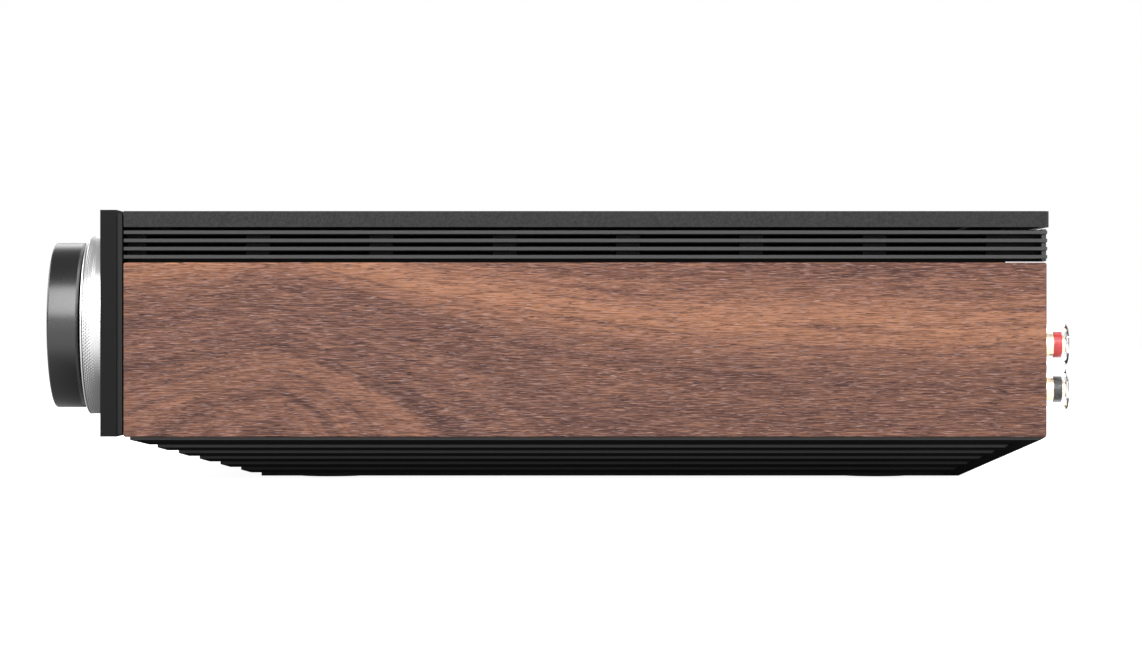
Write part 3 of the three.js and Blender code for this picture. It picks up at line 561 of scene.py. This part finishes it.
def revolved(name, profile, centre, segments=72, shift=None):
    """A turned mesh about a line along Y: profile is (radius, y) in metres, y rising outside.

    It closes on the axis where the profile starts or ends there, and otherwise on itself.
    shift(radius, y, angle) may return a new radius, for knurls and sockets.
    """
    bm = bmesh.new()
    rings = []
    for radius, y in profile:
        if radius <= 0:
            rings.append([bm.verts.new((centre.x, y, centre.z))])
            continue
        ring = []
        for step in range(segments):
            angle = 2 * math.pi * step / segments
            r = shift(radius, y, angle) if shift else radius
            across, up = r * math.sin(angle), r * math.cos(angle)
            ring.append(bm.verts.new((centre.x + across, y, centre.z + up)))
        rings.append(ring)
    pairs = list(zip(rings, rings[1:]))
    if profile[0][0] > 0:
        pairs.append((rings[-1], rings[0]))
    for first, second in pairs:
        for step in range(segments):
            after = (step + 1) % segments
            if len(first) == 1:
                corners = (first[0], second[after], second[step])
            elif len(second) == 1:
                corners = (first[step], first[after], second[0])
            else:
                corners = (first[step], first[after], second[after], second[step])
            bm.faces.new(corners)
    bmesh.ops.recalc_face_normals(bm, faces=bm.faces)
    mesh = bpy.data.meshes.new(name)
    bm.to_mesh(mesh)
    bm.free()
    shade_by_angle(mesh)
    return mesh


def shade_by_angle(mesh, limit=math.radians(32)):
    """Smooth shading, with edges sharper than the limit kept crisp."""
    for face in mesh.polygons:
        face.use_smooth = True
    mesh.set_sharp_from_angle(angle=limit)


def boxes(name, corners, bevel=0.0):
    """One mesh of boxes, each given as (low, high), with a bevel in millimetres."""
    bm = bmesh.new()
    for low, high in corners:
        low, high = Vector(low), Vector(high)
        for vert in bmesh.ops.create_cube(bm, size=1.0)["verts"]:
            vert.co = (low + high) / 2 + vert.co * (high - low)
    if bevel:
        edges = bm.edges[:]
        bmesh.ops.bevel(bm, geom=edges, offset=bevel * MM, segments=2, affect="EDGES", profile=0.6)
    mesh = bpy.data.meshes.new(name)
    bm.to_mesh(mesh)
    bm.free()
    return mesh


def arc(centre_radius, centre_y, radius, start, end, steps=6):
    """Points of a round corner in a turned profile, from one angle to another in degrees."""
    points = []
    for step in range(steps + 1):
        angle = math.radians(start + (end - start) * step / steps)
        points.append((centre_radius + radius * math.cos(angle), centre_y + radius * math.sin(angle)))
    return points


# ---------------------------------------------------------------- knob and buttons

# Lengths are in millimetres.
KNURL_PITCH = 1.2
KNURL_DEPTH = 0.32
KNURL_FADE = 0.25  # over which the knurl comes up to its full depth
KNURL_STEPS = 4  # faces across one diamond
RING_ROUND = 0.5
RING_BORE = 6.2  # the radius that takes the cap's guide
RING_SHAFT = 3.0
FASCIA_GAP = 0.3  # between the ring and the fascia
CAP_GAP = 1.0  # between the cap's back and the ring's front
CAP_GUIDE = 5.9
CAP_DISH = 0.5
CAP_ROUND = 0.7
CAP_CHAMFER = 0.8
CAP_RIM = 3.0  # the flat band round the dish
COLLAR = 1.4  # how far a collar stands out beyond its button
COLLAR_THICK = 1.1
COLLAR_DEPTH = 1.2  # from the collar's back to the fascia's back
BUTTON_ROUND = 0.5
BUTTON_STEM = 2.0


def knurl(radius_limit, y_from, y_to):
    """A shift that presses a diamond knurl into the widest part of a turned piece.

    The number of diamonds round the piece comes with it.
    """
    around = round(2 * math.pi * radius_limit / (KNURL_PITCH * MM))
    fade_length = KNURL_FADE * MM

    def wave(value):
        return abs(2 * (value % 1.0) - 1)

    def shift(radius, y, angle):
        if radius < radius_limit - 1e-6 or not y_from <= y <= y_to:
            return radius
        turn = angle / (2 * math.pi) * around
        climb = (y - y_from) / (KNURL_PITCH * MM)
        lift = min(wave(turn + climb), wave(turn - climb))
        fade = min(1.0, (y - y_from) / fade_length, (y_to - y) / fade_length)
        return radius - KNURL_DEPTH * MM * fade * (1 - lift)
    return shift, around


def make_ring():
    """The knurled ring, with a bore at its front and a shaft at its back."""
    low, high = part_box("knob_ring")
    radius = (high.z - low.z) / 2
    front = low.y
    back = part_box("fascia")[0].y - FASCIA_GAP * MM
    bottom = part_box("control_cap")[1].y + 1 * MM
    knurl_from, knurl_to = front + (RING_ROUND + 0.1) * MM, back - 0.5 * MM
    length = knurl_to - knurl_from
    rows = int(length / (KNURL_PITCH * MM) * KNURL_STEPS)
    profile = [(0, bottom), (RING_BORE * MM, bottom), (RING_BORE * MM, front + 0.3 * MM)]
    profile += [((RING_BORE + 0.3) * MM, front)]
    profile += arc(radius - RING_ROUND * MM, front + RING_ROUND * MM, RING_ROUND * MM, -90, 0, 10)
    profile += [(radius, knurl_from + length * row / rows) for row in range(rows + 1)]
    profile += [(radius, back - 0.25 * MM), (radius - 0.25 * MM, back), (RING_SHAFT * MM, back)]
    profile += [(RING_SHAFT * MM, high.y), (0, high.y)]
    shift, around = knurl(radius, knurl_from, knurl_to)
    mesh = revolved("knob_ring_knurled", profile, knob_centre, around * KNURL_STEPS, shift)
    piece(mesh, silver, "knob_ring", "knob_ring")


def make_cap():
    """The knob's cap: a shallow dish in a flat rim, a chamfered back and a guide behind it."""
    low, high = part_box("control_cap")
    radius = (high.z - low.z) / 2
    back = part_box("knob_ring")[0].y - CAP_GAP * MM
    dish, edge, chamfer = CAP_DISH * MM, CAP_ROUND * MM, CAP_CHAMFER * MM
    rim = radius - CAP_RIM * MM
    profile = [(0, low.y + dish), (rim - 5 * MM, low.y + dish), (rim - 4 * MM, low.y + 0.9 * dish)]
    profile += [(rim - 0.6 * MM, low.y + 0.1 * dish), (rim, low.y)]
    profile += arc(radius - edge, low.y + edge, edge, -90, 0)
    profile += [(radius, back - chamfer), (radius - chamfer, back)]
    profile += [(CAP_GUIDE * MM, back), (CAP_GUIDE * MM, high.y), (0, high.y)]
    mesh = revolved("control_cap_turned", profile, knob_centre, 192)
    piece(mesh, anodised, "control_cap", "control_cap")

    face = low.y + dish
    mark_centre = Vector((knob_centre.x, 0, knob_centre.z + radius - 7.5 * MM))
    mark = [
        (0, face - 0.15 * MM), (0.9 * MM, face - 0.12 * MM),
        (1.0 * MM, face + 0.1 * MM), (0, face + 0.1 * MM),
    ]
    mesh = revolved("knob_mark", mark, mark_centre, 32)
    piece(mesh, print_white, "control_cap")


def make_button(name):
    low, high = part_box(name)
    collar = (high.z - low.z) / 2
    radius = collar - COLLAR * MM
    edge = BUTTON_ROUND * MM
    stem = BUTTON_STEM * MM
    collar_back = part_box("fascia")[1].y - COLLAR_DEPTH * MM
    collar_front = collar_back - COLLAR_THICK * MM
    profile = [(0, low.y + 0.35 * MM), (radius * 0.62, low.y + 0.25 * MM), (radius - 0.8 * MM, low.y)]
    profile += arc(radius - edge, low.y + edge, edge, -80, 0)
    profile += [(radius, collar_front), (collar, collar_front), (collar, collar_back)]
    profile += [(stem, collar_back), (stem, high.y), (0, high.y)]
    mesh = revolved(f"{name}_turned", profile, middle(name))
    piece(mesh, button_metal, name, name)


def make_standby_lamp():
    button = middle("standby_button")
    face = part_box("fascia")[0].y
    centre = Vector((button.x + 13 * MM, 0, button.z))
    profile = [
        (0, face - 0.35 * MM), (0.8 * MM, face - 0.25 * MM),
        (1.1 * MM, face + 0.4 * MM), (0, face + 0.4 * MM),
    ]
    piece(revolved("standby_lamp", profile, centre, 32), lamp, "root")


# ---------------------------------------------------------------- display

# The lit strokes of each seven-segment numeral, lettered as usual.
SEGMENTS = {"2": "abged", "3": "abgcd"}
NUMERALS = "32"
LEVEL_BARS = (17, 14)  # how many bars are lit in the lower and the upper row
BARS_IN_ROW = 24


def stroke_boxes(left, bottom, face, strokes):
    """Boxes for one seven-segment numeral: left and bottom place it on the screen."""
    width, height, thick = 6.4 * MM, 12.5 * MM, 1.1 * MM
    half = height / 2
    level = {"a": height, "g": half, "d": 0.0}
    upright = {"f": (0.0, half), "b": (width, half), "e": (0.0, 0.0), "c": (width, 0.0)}
    found = []
    for letter in strokes:
        if letter in level:
            z = bottom + level[letter]
            low = (left + thick, face, z - thick / 2)
            high = (left + width - thick * 0.1, face + 0.1 * MM, z + thick / 2)
        else:
            x, start = upright[letter]
            low = (left + x, face, bottom + start + thick * 0.7)
            high = (left + x + thick, face + 0.1 * MM, bottom + start + half - thick * 0.7)
        found.append((low, high))
    return found


def make_display():
    low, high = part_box("display_module")
    face = low.y + 0.35 * MM
    strokes = []
    for place, numeral in enumerate(NUMERALS):
        left = high.x - (25 - 10 * place) * MM
        strokes += stroke_boxes(left, low.z + 13 * MM, face, SEGMENTS[numeral])
    piece(boxes("display_numerals", strokes), lamp, "root")
    bars = []
    for row, lit in enumerate(LEVEL_BARS):
        for i in range(BARS_IN_ROW):
            x = low.x + (10 + 2.2 * i) * MM
            z = low.z + (12 + 9 * row) * MM
            tall = 4.2 * MM if i < lit else 0.7 * MM
            bars.append(((x, face, z), (x + 1.3 * MM, face + 0.1 * MM, z + tall)))
    piece(boxes("display_level_bars", bars), lamp, "root")


# ---------------------------------------------------------------- rear

# Lengths are in millimetres.
NUT_BORE = 4.7
NUT_MOUTH = 2.6
NUT_ROUND_IN, NUT_ROUND_OUT = 0.8, 0.3
FLUTES = 12
FLUTE_DEPTH = 0.35
CORE_BORE = 2.95  # where the core runs on its stud
CORE_SOCKET = 2.05  # where a plug goes in at the rear
JACK_LENGTH = 8.9
SOCKET_WALL = 0.35
SOCKET_DEPTH = 14.3
SCREW_INSET = 3.4
PRINT_LIFT, PRINT_LINE = 0.03, 0.35


def make_nut(post):
    """A clear nut with shallow flutes for the fingers."""
    low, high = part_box(f"post_sleeve_{post}")
    radius = (high.z - low.z) / 2
    bore, mouth = NUT_BORE * MM, NUT_MOUTH * MM
    inner, outer = NUT_ROUND_IN * MM, NUT_ROUND_OUT * MM

    def flutes(r, y, angle):
        if r < radius - 0.1 * MM or not low.y + 3 * MM < y < high.y - 1.5 * MM:
            return r
        return r - FLUTE_DEPTH * MM * max(0.0, math.cos(FLUTES * angle)) ** 2

    profile = [(bore, low.y), (radius - inner, low.y)]
    profile += arc(radius - inner, low.y + inner, inner, -80, 0, 5)
    shares = (0.16, 0.2, 0.4, 0.6, 0.8, 0.9, 0.93)
    profile += [(radius, low.y + (high.y - low.y) * share) for share in shares]
    profile += arc(radius - outer, high.y - outer, outer, 0, 90, 4)
    profile += [(mouth, high.y), (mouth, high.y - 0.5 * MM), (bore, high.y - 0.5 * MM)]
    mesh = revolved(f"post_nut_{post}", profile, middle(f"post_sleeve_{post}"), 144, flutes)
    piece(mesh, clear, f"post_sleeve_{post}", f"post_sleeve_{post}")


def make_core(post):
    """The gold core inside a nut, with the coloured band in its groove."""
    centre = middle(f"post_sleeve_{post}")
    low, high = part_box(f"post_insert_{post}")
    radius = (high.z - low.z) / 2
    stud, socket = CORE_BORE * MM, CORE_SOCKET * MM
    profile = [
        (stud, low.y), (radius - 0.2 * MM, low.y), (radius, low.y + 0.2 * MM),
        (radius, high.y - 4.3 * MM), (radius - 0.5 * MM, high.y - 4.2 * MM),
        (radius - 0.5 * MM, high.y - 1.3 * MM), (radius - 0.8 * MM, high.y - 1.2 * MM),
        (2.4 * MM, high.y), (socket, high.y), (socket, high.y - 5 * MM), (stud, high.y - 5 * MM),
    ]
    mesh = revolved(f"post_core_{post}", profile, centre)
    piece(mesh, pale_gold, f"post_insert_{post}", f"post_insert_{post}")

    band_in, band_out = radius - 0.45 * MM, radius + 0.15 * MM
    band_from, band_to = high.y - 4.15 * MM, high.y - 1.35 * MM
    band = [(band_in, band_from), (band_out, band_from), (band_out, band_to), (band_in, band_to)]
    color = red_plastic if post.endswith("positive") else dark_plastic
    piece(revolved(f"post_band_{post}", band, centre), color, f"post_insert_{post}")


def make_jack(label, centre, back, color):
    """A line jack's gold shell, and the coloured insulator at its mouth."""
    face = back - JACK_LENGTH * MM
    shell = [
        (3.9 * MM, back), (4.2 * MM, back), (4.3 * MM, back - 0.2 * MM),
        (4.35 * MM, face + 0.8 * MM), (5.3 * MM, face + 0.7 * MM), (5.3 * MM, face),
        (4.11 * MM, face), (4.11 * MM, back - 0.3 * MM), (3.9 * MM, back - 0.3 * MM),
    ]
    piece(revolved(f"jack_shell_{label}", shell, centre, 64), gold, "root")
    hole, edge = 1.75 * MM, 3.85 * MM
    sunk, proud = back - 0.02 * MM, back + 0.12 * MM
    insulator = [(hole, sunk), (hole, proud), (edge, proud), (edge, sunk)]
    mesh = revolved(f"jack_insulator_{label}", insulator, centre, 48)
    piece(mesh, color, "root")


def make_jacks():
    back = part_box("rca_block")[1].y
    block = middle("rca_block")
    for column, dx in enumerate((-19, 0, 19), start=1):
        for row, dz, color in (("lower", -7.5, red_plastic), ("upper", 7.5, white_plastic)):
            centre = Vector((block.x + dx * MM, 0, block.z + dz * MM))
            make_jack(f"{column}_{row}", centre, back, color)


def make_inlet_pins():
    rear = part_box("mains_inlet")[1].y
    centre = middle("mains_inlet")
    back, tip = rear - 16.7 * MM, rear - 3 * MM
    pins = []
    for dx, dz in ((-7, -2), (0, 2), (7, -2)):
        x, z = centre.x + dx * MM, centre.z + dz * MM
        pins.append(((x - 1 * MM, back, z - 2 * MM), (x + 1 * MM, tip, z + 2 * MM)))
    piece(boxes("mains_inlet_pins", pins, 0.35), steel, "root")


def lining(centre, half_width, half_height, back, front):
    """Four walls of a metal socket shell, lining a cavity."""
    wall = SOCKET_WALL * MM
    x0, x1 = centre.x - half_width, centre.x + half_width
    z0, z1 = centre.z - half_height, centre.z + half_height
    return [
        ((x0, back, z0), (x0 + wall, front, z1)), ((x1 - wall, back, z0), (x1, front, z1)),
        ((x0 + wall, back, z0), (x1 - wall, front, z0 + wall)),
        ((x0 + wall, back, z1 - wall), (x1 - wall, front, z1)),
    ]


def make_port_shell(port, half_width, half_height):
    """Lines a socket's cavity with steel, and returns its middle, back and front."""
    centre = middle(f"{port}_socket")
    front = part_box(f"{port}_socket")[1].y
    back = front - SOCKET_DEPTH * MM
    clear_width, clear_height = (half_width - 0.02) * MM, (half_height - 0.02) * MM
    walls = lining(centre, clear_width, clear_height, back, front)
    piece(boxes(f"{port}_shell", walls), steel, "root")
    return centre, back, front


def make_network_port():
    centre, back, front = make_port_shell("lan", 5.9, 4.1)
    contacts = []
    for i in range(8):
        low = (centre.x + (i - 3.7) * MM, back, centre.z + 2.6 * MM)
        high = (centre.x + (i - 3.3) * MM, front - 3 * MM, centre.z + 2.9 * MM)
        contacts.append((low, high))
    piece(boxes("lan_contacts", contacts), gold, "root")


def make_tongue_port(port, half_width, half_height, lift):
    """A socket with a plastic tongue, lifted above its middle by lift millimetres."""
    centre, back, front = make_port_shell(port, half_width, half_height)
    reach = (half_width - 1.6) * MM
    low = (centre.x - reach, back, centre.z + (lift - 0.5) * MM)
    high = (centre.x + reach, front - 1.8 * MM, centre.z + (lift + 0.5) * MM)
    mesh = boxes(f"{port}_tongue", [(low, high)], 0.12)
    piece(mesh, white_plastic, "root")


def make_optical_door():
    centre = middle("optical_socket")
    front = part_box("optical_socket")[1].y
    half = 3.7 * MM
    low = (centre.x - half, front - 1.5 * MM, centre.z - half)
    high = (centre.x + half, front - 0.9 * MM, centre.z + half)
    piece(boxes("optical_door", [(low, high)], 0.2), dark_plastic, "root")


def hexagon(limit):
    """A shift that turns the inner rings of a turned piece, up to limit, into a hexagon."""
    def shift(radius, y, angle):
        if radius > limit:
            return radius
        side = (angle % (math.pi / 3)) - math.pi / 6
        return radius * math.cos(math.pi / 6) / math.cos(side)
    return shift


def make_screws():
    """Socket-head screws that hold the rear panel to the chassis."""
    low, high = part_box("rear_panel")
    face = high.y
    inset, bottom = SCREW_INSET * MM, low.z + 4 * MM
    columns = (low.x + inset, high.x - inset)
    places = [(x, z) for x in columns for z in (bottom, high.z - 20 * MM)]
    places += [(x * MM, high.z - 9 * MM) for x in (-110, -55, 55, 110)]
    places += [(x * MM, bottom) for x in (-40, -5, 28)]
    # The foot, the domed head and the socket, as radius and height in millimetres.
    head = [
        (0, 0.01), (2.75, 0.01), (2.7, 0.5), (2.3, 1.05), (1.6, 1.4), (1.1, 1.45), (1.1, 0.7), (0, 0.7),
    ]
    profile = [(radius * MM, face + height * MM) for radius, height in head]
    for i, (x, z) in enumerate(places, start=1):
        mesh = revolved(f"panel_screw_{i}", profile, Vector((x, 0, z)), 48, hexagon(1.2 * MM))
        piece(mesh, steel, "root")


def make_panel_print():
    """Thin printed frames that group the sockets, without any lettering."""
    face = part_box("rear_panel")[1].y
    top, line = face + PRINT_LIFT * MM, PRINT_LINE * MM
    groups = [(("rca_block",), 2.0), (("mains_inlet", "power_switch_frame"), 3.5)]
    groups += [((f"post_base_{side}_negative", f"post_base_{side}_positive"), 1.2) for side in sides]
    strips = []
    for members, gap in groups:
        corners = [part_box(member) for member in members]
        x0 = min(low.x for low, _ in corners) - gap * MM
        x1 = max(high.x for _, high in corners) + gap * MM
        z0 = min(low.z for low, _ in corners) - gap * MM
        z1 = max(high.z for _, high in corners) + gap * MM
        strips += [((x0, face, z0), (x1, top, z0 + line)), ((x0, face, z1 - line), (x1, top, z1))]
        strips += [((x, face, z0 + line), (x + line, top, z1 - line)) for x in (x0, x1 - line)]
    piece(boxes("panel_print", strips), print_white, "root")


def make_foot(name):
    """A rubber foot with a shallow groove in its sole."""
    low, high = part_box(name)
    centre = middle(name)
    radius = (high.x - low.x) / 2
    edge = 0.6 * MM
    groove = low.z + 0.25 * MM
    profile = [(0, low.z), (radius * 0.72, low.z), (radius * 0.75, groove), (radius * 0.8, groove)]
    profile += [(radius * 0.83, low.z), (radius - edge, low.z)]
    profile += arc(radius - edge, low.z + edge, edge, -80, 0, 5)
    profile += [(radius, high.z), (0, high.z)]
    mesh = revolved(f"{name}_pad", profile, Vector((0, 0, 0)))
    for vert in mesh.vertices:
        x, y, z = vert.co
        vert.co = (centre.x + x, centre.y - z, y)
    piece(mesh, foot_rubber, "root", name)


# ---------------------------------------------------------------- stage, light and camera

def shown_by_ray(g, seen, mirrored, bounced):
    """Gives the eye, the mirrors and the diffuse bounces each a shader of their own.

    What the eye sees through clear plastic counts as seen, however the ray turns inside it.
    """
    path = g.add("ShaderNodeLightPath").outputs
    direct = g.math("LESS_THAN", path["Transmission Depth"], 0.5)
    shown = seen
    for kind, shader in (("Is Glossy Ray", mirrored), ("Is Diffuse Ray", bounced)):
        chosen = g.math("MULTIPLY", path[kind], direct)
        shown = g.output_of("ShaderNodeMixShader", chosen, shown, shader)
    return shown


FLOOR_SIZE = 8.0
FLOOR_GLOW = 0.93
FLOOR_SEEN, FLOOR_BOUNCED = 0.5, 0.24  # how much light the floor gives back
# Where mirrors see the object's shade on the floor, in half-widths of the object, and how bright.
SHADE_INSIDE, SHADE_OUTSIDE = 0.90, 1.35
SHADE_GLOW, OPEN_GLOW = 0.10, 1.15


def mirrored_floor(g):
    """The floor as metal sees it: shaded near the object and bright further out."""
    low, high = (Vector(corner) for corner in cad_box)
    at = g.split(g.add("ShaderNodeTexCoord").outputs["Object"])
    across = g.math("DIVIDE", g.math("ABSOLUTE", at["X"]), high.x)
    along = g.math("DIVIDE", g.math("ABSOLUTE", at["Y"]), max(-low.y, high.y))
    reach = g.math("MAXIMUM", across, along)
    glow = g.spread(reach, SHADE_INSIDE, SHADE_OUTSIDE, SHADE_GLOW, OPEN_GLOW)
    return g.output_of("ShaderNodeEmission", Strength=glow)


def floor_paint(g, tone):
    return g.output_of("ShaderNodeBsdfDiffuse", Color=(tone, tone, tone, 1))


def make_floor():
    bm = bmesh.new()
    bmesh.ops.create_grid(bm, x_segments=1, y_segments=1, size=FLOOR_SIZE)
    mesh = bpy.data.meshes.new("floor")
    bm.to_mesh(mesh)
    bm.free()
    material = bpy.data.materials.new("pale_floor")
    material.use_nodes = True
    g = Nodes(material.node_tree)
    g.tree.nodes.clear()
    glow = g.output_of("ShaderNodeEmission", Strength=FLOOR_GLOW)
    seen = g.output_of("ShaderNodeAddShader", glow, floor_paint(g, FLOOR_SEEN))
    shown = shown_by_ray(g, seen, mirrored_floor(g), floor_paint(g, FLOOR_BOUNCED))
    g.feed(g.add("ShaderNodeOutputMaterial").inputs["Surface"], shown)
    mesh.materials.append(material)
    place_object("floor", mesh)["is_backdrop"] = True


WORLD_SEEN, WORLD_UNSEEN = 1.0, 0.35  # how bright the room is to the eye, and to all else


def make_world():
    world = bpy.data.worlds.new("studio")
    bpy.context.scene.world = world
    world.use_nodes = True
    g = Nodes(world.node_tree)
    g.tree.nodes.clear()
    white = (1, 1, 1, 1)
    seen = g.output_of("ShaderNodeBackground", Color=white, Strength=WORLD_SEEN)
    unseen = g.output_of("ShaderNodeBackground", Color=white, Strength=WORLD_UNSEEN)
    shown = shown_by_ray(g, seen, unseen, unseen)
    g.feed(g.add("ShaderNodeOutputWorld").inputs["Surface"], shown)


LIGHT_TARGET = Vector((0, 0, 0.045))  # near the middle of the object


def soft_light(name, place, size, radiance):
    """A rectangular softbox aimed at the object, with its brightness given as radiance."""
    light = bpy.data.lights.new(name, "AREA")
    light.shape = "RECTANGLE"
    light.size, light.size_y = size
    light.energy = radiance * math.pi * size[0] * size[1]
    box = place_object(name, light)
    box.location = place
    towards = LIGHT_TARGET - Vector(place)
    box.rotation_euler = towards.to_track_quat("-Z", "Y").to_euler()


def make_lights():
    soft_light("key_right", (1.36, -0.02, 0.90), (1.5, 1.15), 5.6)
    soft_light("low_right", (1.80, 0.0, 0.10), (2.6, 0.30), 1.1)
    soft_light("fill_left", (-1.5, 0.0, 1.0), (2.0, 0.8), 2.4)
    soft_light("front_box", (0.1, -1.8, 1.0), (1.8, 1.4), 5.0)
    soft_light("rear_box", (0.0, 1.8, 1.0), (1.8, 1.4), 4.0)


CAMERA_DISTANCE = 1.3  # from the near side of the object to the lens
CAMERA_ASIDE = 4.7  # millimetres behind the object's middle
EYE_LEVEL = 0.57  # as a share of the object's height
LENS = 121.4
SENSOR = 36.0


def make_camera():
    low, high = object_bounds()
    camera = bpy.data.cameras.new("side_camera")
    camera.lens = LENS
    camera.sensor_width = SENSOR
    holder = place_object("side_camera", camera)
    holder.location = (high.x + CAMERA_DISTANCE, CAMERA_ASIDE * MM, EYE_LEVEL * (high.z - low.z))
    holder.rotation_euler = (math.radians(90), 0, math.radians(90))
    bpy.context.scene.camera = holder


# ---------------------------------------------------------------- build

finish_nodes()
soften("fascia", 0.35)
soften("sub_fascia", 0.15)
soften("top_cover", 0.5)
soften("rear_panel", 0.15)
soften("base_plinth", 0.18)
for side in sides:
    soften(f"vent_rail_{side}", 0.3, 4)
    soften(f"wood_cheek_{side}", 0.15)
for name in ("mains_inlet", "power_switch_frame", "power_rocker", "rca_block"):
    soften(name, 0.3)
for name in ("lan_socket", "usb_socket", "hdmi_socket", "optical_socket"):
    soften(name, 0.2)

make_ring()
make_cap()
for name in ("standby_button", "function_button_1", "function_button_2", "function_button_3"):
    make_button(name)
make_standby_lamp()
make_display()
for post in posts:
    make_nut(post)
    make_core(post)
make_jacks()
make_inlet_pins()
make_network_port()
make_tongue_port("usb", 6.6, 2.9, 0.9)
make_tongue_port("hdmi", 7.1, 2.45, 0.0)
make_optical_door()
make_screws()
make_panel_print()
for i in range(4):
    make_foot(f"foot_{i + 1}")

make_floor()
make_world()
make_lights()
make_camera()
bpy.context.scene.view_settings.view_transform = "Standard"
